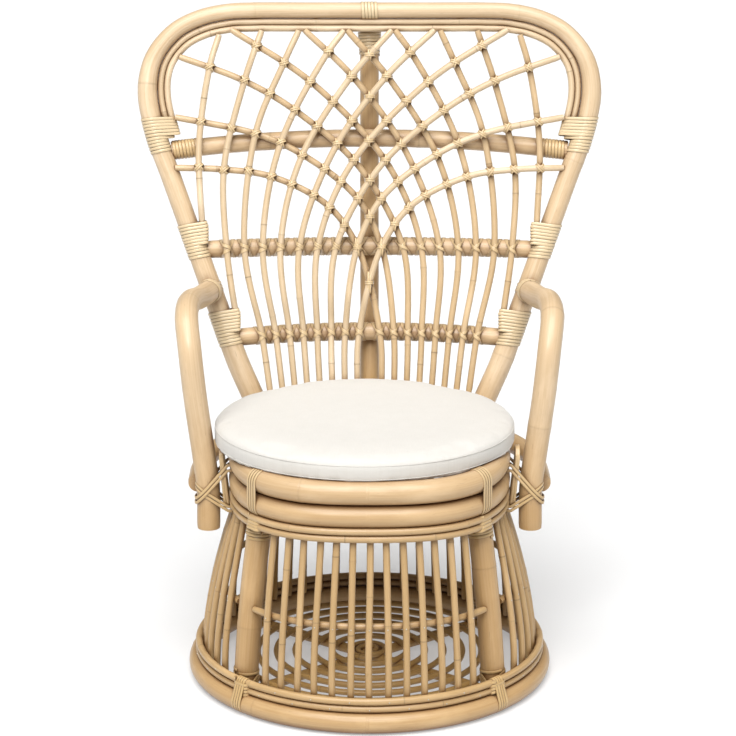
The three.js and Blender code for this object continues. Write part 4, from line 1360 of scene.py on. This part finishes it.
def lash_leg(bundle, turn):
    """Wraps round a leg and the hoops at its foot and its head, and loops round the rings beside them."""
    path = leg_path(turn)
    toward = math.copysign(1, turn) * (-1 if abs(turn) < 90 else 1)
    beside = turn + LASH_SHIFT * toward
    lashes = ((*LEG_FOOT_LASH, base_plan, 0), (*LEG_HEAD_LASH, seat_plan, SEAT_HOOP_OUTWARD))
    for height, count, first, last, plan, outward in lashes:
        start = length_at_height(path, height)
        axis = at(path, [start + 2 * STRIP_PITCH])[0]
        hoop = np.array([*plan(beside, outward), 0])
        normal = np.array([*plan(beside, outward + 1), 0]) - hoop
        reach = np.array([hoop[0] - axis[0], hoop[1] - axis[1], 0])
        span = reach.dot(normal)
        middle = reach.dot(np.cross(UPRIGHT, normal))

        def circles_at(turns, span=span, middle=middle, first=first, last=last):
            circles = [(0, 0, LEG_RADIUS + BINDING_GAP)]
            if first < turns < last:
                spots = (middle - HOOP_SPREAD, middle + HOOP_SPREAD)
                circles += [(span, spot, HOOP_RADIUS + HOOP_PADDING) for spot in spots]
            return circles

        wound(bundle, path, start, circles_at, count, normal)
    base_circles = [(0, BASE_POLE_RADIUS + STRIP_THICKNESS + WINDING_GAP, BASE_POLE_RADIUS)]
    base_circles += [(0, height, HOOP_RADIUS) for height in BASE_HOOP_HEIGHTS]
    seat_circles = [(0, height, SEAT_POLE_RADIUS) for height in SEAT_RING_HEIGHTS]
    for strand in range(LEG_LOOPS):
        shift = (strand - (LEG_LOOPS - 1) / 2) * LOOP_WIDTH * LOOP_SPACING
        spot = np.array([*base_plan(beside + math.degrees(shift / BASE_RING_RADIUS), 0), 0])
        band(bundle, spot, unit(spot), UPRIGHT, base_circles)
        place = beside + math.degrees(shift / SEAT_HALF_DEPTH)
        spot = np.array([*seat_plan(place, 0), 0])
        band(bundle, spot, np.array([*seat_plan(place, 1), 0]) - spot, UPRIGHT, seat_circles)


def make_lashings():
    lashings = Bundle()
    for turn in LEG_TURNS.values():
        lash_leg(lashings, turn)
    rail = rear_rail_path()
    rail_ways = tangents(rail)
    for foot in (frame_path(-1), frame_path(1), centre_post_path()):
        spot = at(foot, [length_at_height(foot, REAR_RAIL_HEIGHT)])[0]
        nearest = np.linalg.norm(rail - spot, axis=1).argmin()
        front = (rail[nearest], rail_ways[nearest], REAR_RAIL_RADIUS)
        cross_tie(lashings, front, (spot, UPRIGHT, FRAME_RADIUS), LOOP_WIDTH, STRIP_THICKNESS)
    lashings.build("strip_leg_lashings", strip_skin, "strip")


def cushion_shape():
    """The cushion's cut and sewn form before it is filled: two round panels and a band between them."""
    shape = bmesh.new()
    inner, outer = PANEL_REACH
    bulge = SEWN_BULGE * CUSHION_CROWN
    profile = [(reach, CUSHION_EDGE + bulge * (1 - (reach / CROWN_SHARE) ** 2))
               for reach in np.linspace(inner, outer, TOP_ROWS)]
    side = [(reach, CUSHION_EDGE - drop) for reach, drop in BAND_EDGE]
    profile += side + [(side[-1][0], CUSHION_EDGE / 2)]
    profile += [(reach, CUSHION_EDGE - height) for reach, height in side[::-1]]
    profile += [(reach, 0) for reach in np.linspace(outer, inner, BOTTOM_ROWS)]
    rows = []
    for reach, height in profile:
        row = []
        for i in range(CUSHION_POINTS):
            angle = math.tau * i / CUSHION_POINTS
            x = reach * CUSHION_HALF_WIDTH * math.cos(angle)
            y = reach * CUSHION_HALF_DEPTH * math.sin(angle)
            row.append(shape.verts.new((x * MM, y * MM, height * MM)))
        rows.append(row)
    for upper, lower in zip(rows, rows[1:]):
        for i in range(CUSHION_POINTS):
            j = (i + 1) % CUSHION_POINTS
            shape.faces.new((upper[i], lower[i], lower[j], upper[j]))
    shape.faces.new(rows[0])
    shape.faces.new(rows[-1][::-1])
    mesh = bpy.data.meshes.new("cushion_cover")
    shape.to_mesh(mesh)
    shape.free()
    return mesh


def settled(piece):
    """Applies the piece's modifiers to its mesh."""
    evaluated = piece.evaluated_get(bpy.context.evaluated_depsgraph_get())
    mesh = bpy.data.meshes.new_from_object(evaluated)
    piece.modifiers.clear()
    piece.data = mesh


def positions(piece):
    spots = np.zeros(len(piece.data.vertices) * 3)
    piece.data.vertices.foreach_get("co", spots)
    return spots.reshape(-1, 3)


def sag(spots, share):
    """How far the lower edge droops towards the slope of the seat ring, in metres."""
    ring = ring_path(seat_plan, 0, 0)[:, :2] - [CUSHION_ASIDE, CUSHION_SHIFT]
    apart = np.min(np.linalg.norm(spots[:, None, :2] / MM - ring[None], axis=2), axis=1)
    slope = np.sqrt(np.maximum(0, SEAT_POLE_RADIUS**2 - apart**2))
    room = CUSHION_BASE - SEAT_RING_HEIGHTS[0] - slope
    edge = np.clip((share - SAG_START) / SAG_RUN, 0, 1)
    return np.minimum(room + EDGE_ROUNDING, CUSHION_SAG) * edge * MM


def make_cushion():
    piece = shown("cushion_cover", cushion_shape())
    remesh = piece.modifiers.new("remesh", "REMESH")
    remesh.mode = "VOXEL"
    remesh.voxel_size = VOXEL
    settled(piece)
    before = positions(piece)
    cloth = piece.modifiers.new("cloth", "CLOTH")
    for setting, value in CLOTH.items():
        setattr(cloth.settings, setting, value)
    cloth.settings.effector_weights.gravity = 0
    scene = bpy.context.scene
    for step in range(1, CLOTH_STEPS + 1):
        scene.frame_set(step)
    settled(piece)
    scene.frame_set(1)
    after = positions(piece)
    move = after - before
    size = np.linalg.norm(move, axis=1)[:, None]
    after = before + move * np.minimum(1, CLOTH_REACH / np.maximum(size, TINY))
    half_sizes = np.array([CUSHION_HALF_WIDTH, CUSHION_HALF_DEPTH]) * MM
    after[:, :2] *= half_sizes / np.abs(after[:, :2]).max(axis=0)
    angle = np.arctan2(after[:, 1], after[:, 0])
    edge = CUSHION_EDGE * MM
    reach = np.hypot(after[:, 0], after[:, 1])
    beside = np.clip((reach / (CUSHION_HALF_DEPTH * MM) - PUCKER_START) / PUCKER_BLEND, 0, 1)
    swing, swings, lead = PUCKER_WANDER
    pucker = PUCKER_DEPTHS[0] * np.sin(PUCKER_COUNTS[0] * angle + swing * np.sin(swings * angle))
    pucker += PUCKER_DEPTHS[1] * np.sin(PUCKER_COUNTS[1] * angle + lead)
    near_seam = sum(np.exp(-(((after[:, 2] - height) / PUCKER_RUN) ** 2)) for height in (edge, 0))
    after[:, :2] *= (1 + pucker * beside * near_seam / np.maximum(reach, LEAST_REACH))[:, None]
    after[:, 2] = np.maximum(after[:, 2], 0)
    # The crown is drawn smooth through the settled points, and the lower edge is pressed flat
    share = np.linalg.norm(after[:, :2] / half_sizes, axis=1)
    top = (after[:, 2] > edge / 2) & (share < CROWN_SHARE)
    crown = np.polynomial.Polynomial.fit(share[top] ** 2, after[top, 2], CROWN_DEGREE)
    weight = np.clip((CROWN_SHARE - share[top]) / CROWN_BLEND, 0, 1)
    after[top, 2] += weight * (crown(share[top] ** 2) - after[top, 2])
    # The upper edge rolls over softly: what stands out of a quarter ellipse is drawn in onto it
    inner = 1 - ROLL_RUN / CUSHION_HALF_DEPTH
    foot = edge - ROLL_DROP * MM
    along = np.maximum(share - inner, 0) / (1 - inner)
    above = np.maximum(after[:, 2] - foot, 0) / (crown(inner**2) - foot)
    pull = np.minimum(1, 1 / np.maximum(np.hypot(along, above), TINY))
    rolled = (along > 0) & (above > 0)
    drawn = np.where(rolled, inner + along * pull * (1 - inner), share)
    after[:, :2] *= (drawn / np.maximum(share, TINY))[:, None]
    after[rolled, 2] = foot + (above * pull * (crown(inner**2) - foot))[rolled]
    low = after[:, 2] < PRESSED_EDGE * MM
    after[low, 2] = after[low, 2] ** 2 / (PRESSED_EDGE * MM)
    after[low, 2] -= sag(after[low], share[low])
    after += [CUSHION_ASIDE * MM, DRUM_Y + CUSHION_SHIFT * MM, CUSHION_BASE * MM]
    piece.data.vertices.foreach_set("co", after.ravel())
    piece.data.update()
    smoother = piece.modifiers.new("fine", "SUBSURF")
    smoother.levels = 1
    smoother.render_levels = 1
    settled(piece)
    piece.data.polygons.foreach_set("use_smooth", np.ones(len(piece.data.polygons), bool))
    piece.data.materials.clear()
    piece.data.materials.append(cloth_skin)
    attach(piece, "cushion")
    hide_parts("cushion")
    make_seams(piece)


def make_seams(cushion):
    """Fine rolled seams where the round panels meet the band."""
    spots = positions(cushion)
    middle = np.array([CUSHION_ASIDE * MM, DRUM_Y + CUSHION_SHIFT * MM])
    flat = spots[:, :2] - middle
    angle = np.arctan2(flat[:, 1], flat[:, 0])
    reach = np.hypot(flat[:, 0], flat[:, 1])
    turns = np.linspace(-math.pi, math.pi, SEAM_STEPS, endpoint=False)
    window = np.ones(2 * SEAM_SMOOTHING + 1) / (2 * SEAM_SMOOTHING + 1)
    for level, height in (("top", CUSHION_EDGE - SEAM_DROP), ("bottom", SEAM_RISE)):
        z = (CUSHION_BASE + height) * MM
        seam = []
        for turn in turns:
            apart = np.abs(np.angle(np.exp(1j * (angle - turn))))
            near = (apart < SEAM_NEAR_TURN) & (np.abs(spots[:, 2] - z) < SEAM_NEAR_HEIGHT)
            seam.append(reach[near].max() if near.any() else np.nan)
        seam = np.array(seam)
        known = ~np.isnan(seam)
        seam = np.interp(turns, turns[known], seam[known], period=math.tau)
        seam = np.concatenate([seam[-SEAM_SMOOTHING:], seam, seam[:SEAM_SMOOTHING]])
        seam = np.convolve(seam, window, mode="valid") - SEAM_SINK
        path = np.stack([seam * np.cos(turns), seam * np.sin(turns), np.full_like(seam, z)], axis=-1)
        path[:, :2] += middle
        path = np.vstack([path, path[:1]]) / MM
        path[:, 1] -= DRUM_Y / MM
        roll = Bundle()
        pole(roll, path, SEAM_RADIUS, "seam", False, True, UPRIGHT)
        piece = roll.build(f"cushion_seam_{level}", cloth_skin, "cloth")
        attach(piece, "cushion")


def make_stage():
    scene = bpy.context.scene
    floor = bpy.data.meshes.new("floor")
    corners = [(x * FLOOR_HALF_SIZE, y * FLOOR_HALF_SIZE, 0) for x, y in ((-1, -1), (1, -1), (1, 1), (-1, 1))]
    floor.from_pydata(corners, [], [(0, 1, 2, 3)])
    paint = Paint("floor_paint")
    paint.feed(paint.shader, Base_Color=FLOOR_PAINT, Roughness=0.85)
    paint.feed(paint.shader, Emission_Color=(1, 1, 1, 1), Emission_Strength=FLOOR_GLOW)
    floor.materials.append(paint.material)
    ground = shown("floor", floor)
    ground.location.z = -FLOOR_DROP
    world = bpy.data.worlds.new("studio")
    world.use_nodes = True
    background = world.node_tree.nodes["Background"]
    background.inputs["Color"].default_value = (1, 1, 1, 1)
    background.inputs["Strength"].default_value = WORLD_LIGHT
    scene.world = world
    for name, strength, softness, tilt, turn in LAMPS:
        lamp = bpy.data.lights.new(name, "SUN")
        lamp.energy = strength
        lamp.angle = math.radians(softness)
        shown(name, lamp).rotation_euler = (math.radians(tilt), 0, math.radians(turn))
    spot = bpy.data.lights.new("back_light", "SPOT")
    spot.energy = SPOT_POWER
    spot.spot_size = math.radians(SPOT_CONE)
    spot.spot_blend = SPOT_BLEND
    spot.shadow_soft_size = SPOT_SIZE
    thing = shown("back_light", spot)
    thing.location = SPOT_PLACE
    thing.rotation_euler = (Vector(SPOT_AIM) - Vector(SPOT_PLACE)).to_track_quat("-Z", "Y").to_euler()
    camera = bpy.data.cameras.new("camera")
    camera.sensor_width = SENSOR_MM
    camera.lens = FOCAL_PX / IMAGE_SIZE * SENSOR_MM
    camera.shift_x = (IMAGE_SIZE / 2 - CENTRE_PX) / IMAGE_SIZE
    viewer = shown("camera", camera)
    viewer.location = (0, DRUM_Y - CAMERA_DISTANCE, CAMERA_HEIGHT)
    viewer.rotation_euler = (math.radians(90 - CAMERA_PITCH), 0, 0)
    scene.camera = viewer
    scene.view_settings.view_transform = "Standard"


make_stage()
nails = Bundle()
make_base()
make_legs()
make_spindles(nails)
nails.build("nail_heads", nail_skin, "strip")
make_floor()
make_seat()
make_back_frame()
make_lattice()
make_back_bindings()
make_arms()
make_lashings()
make_cushion()
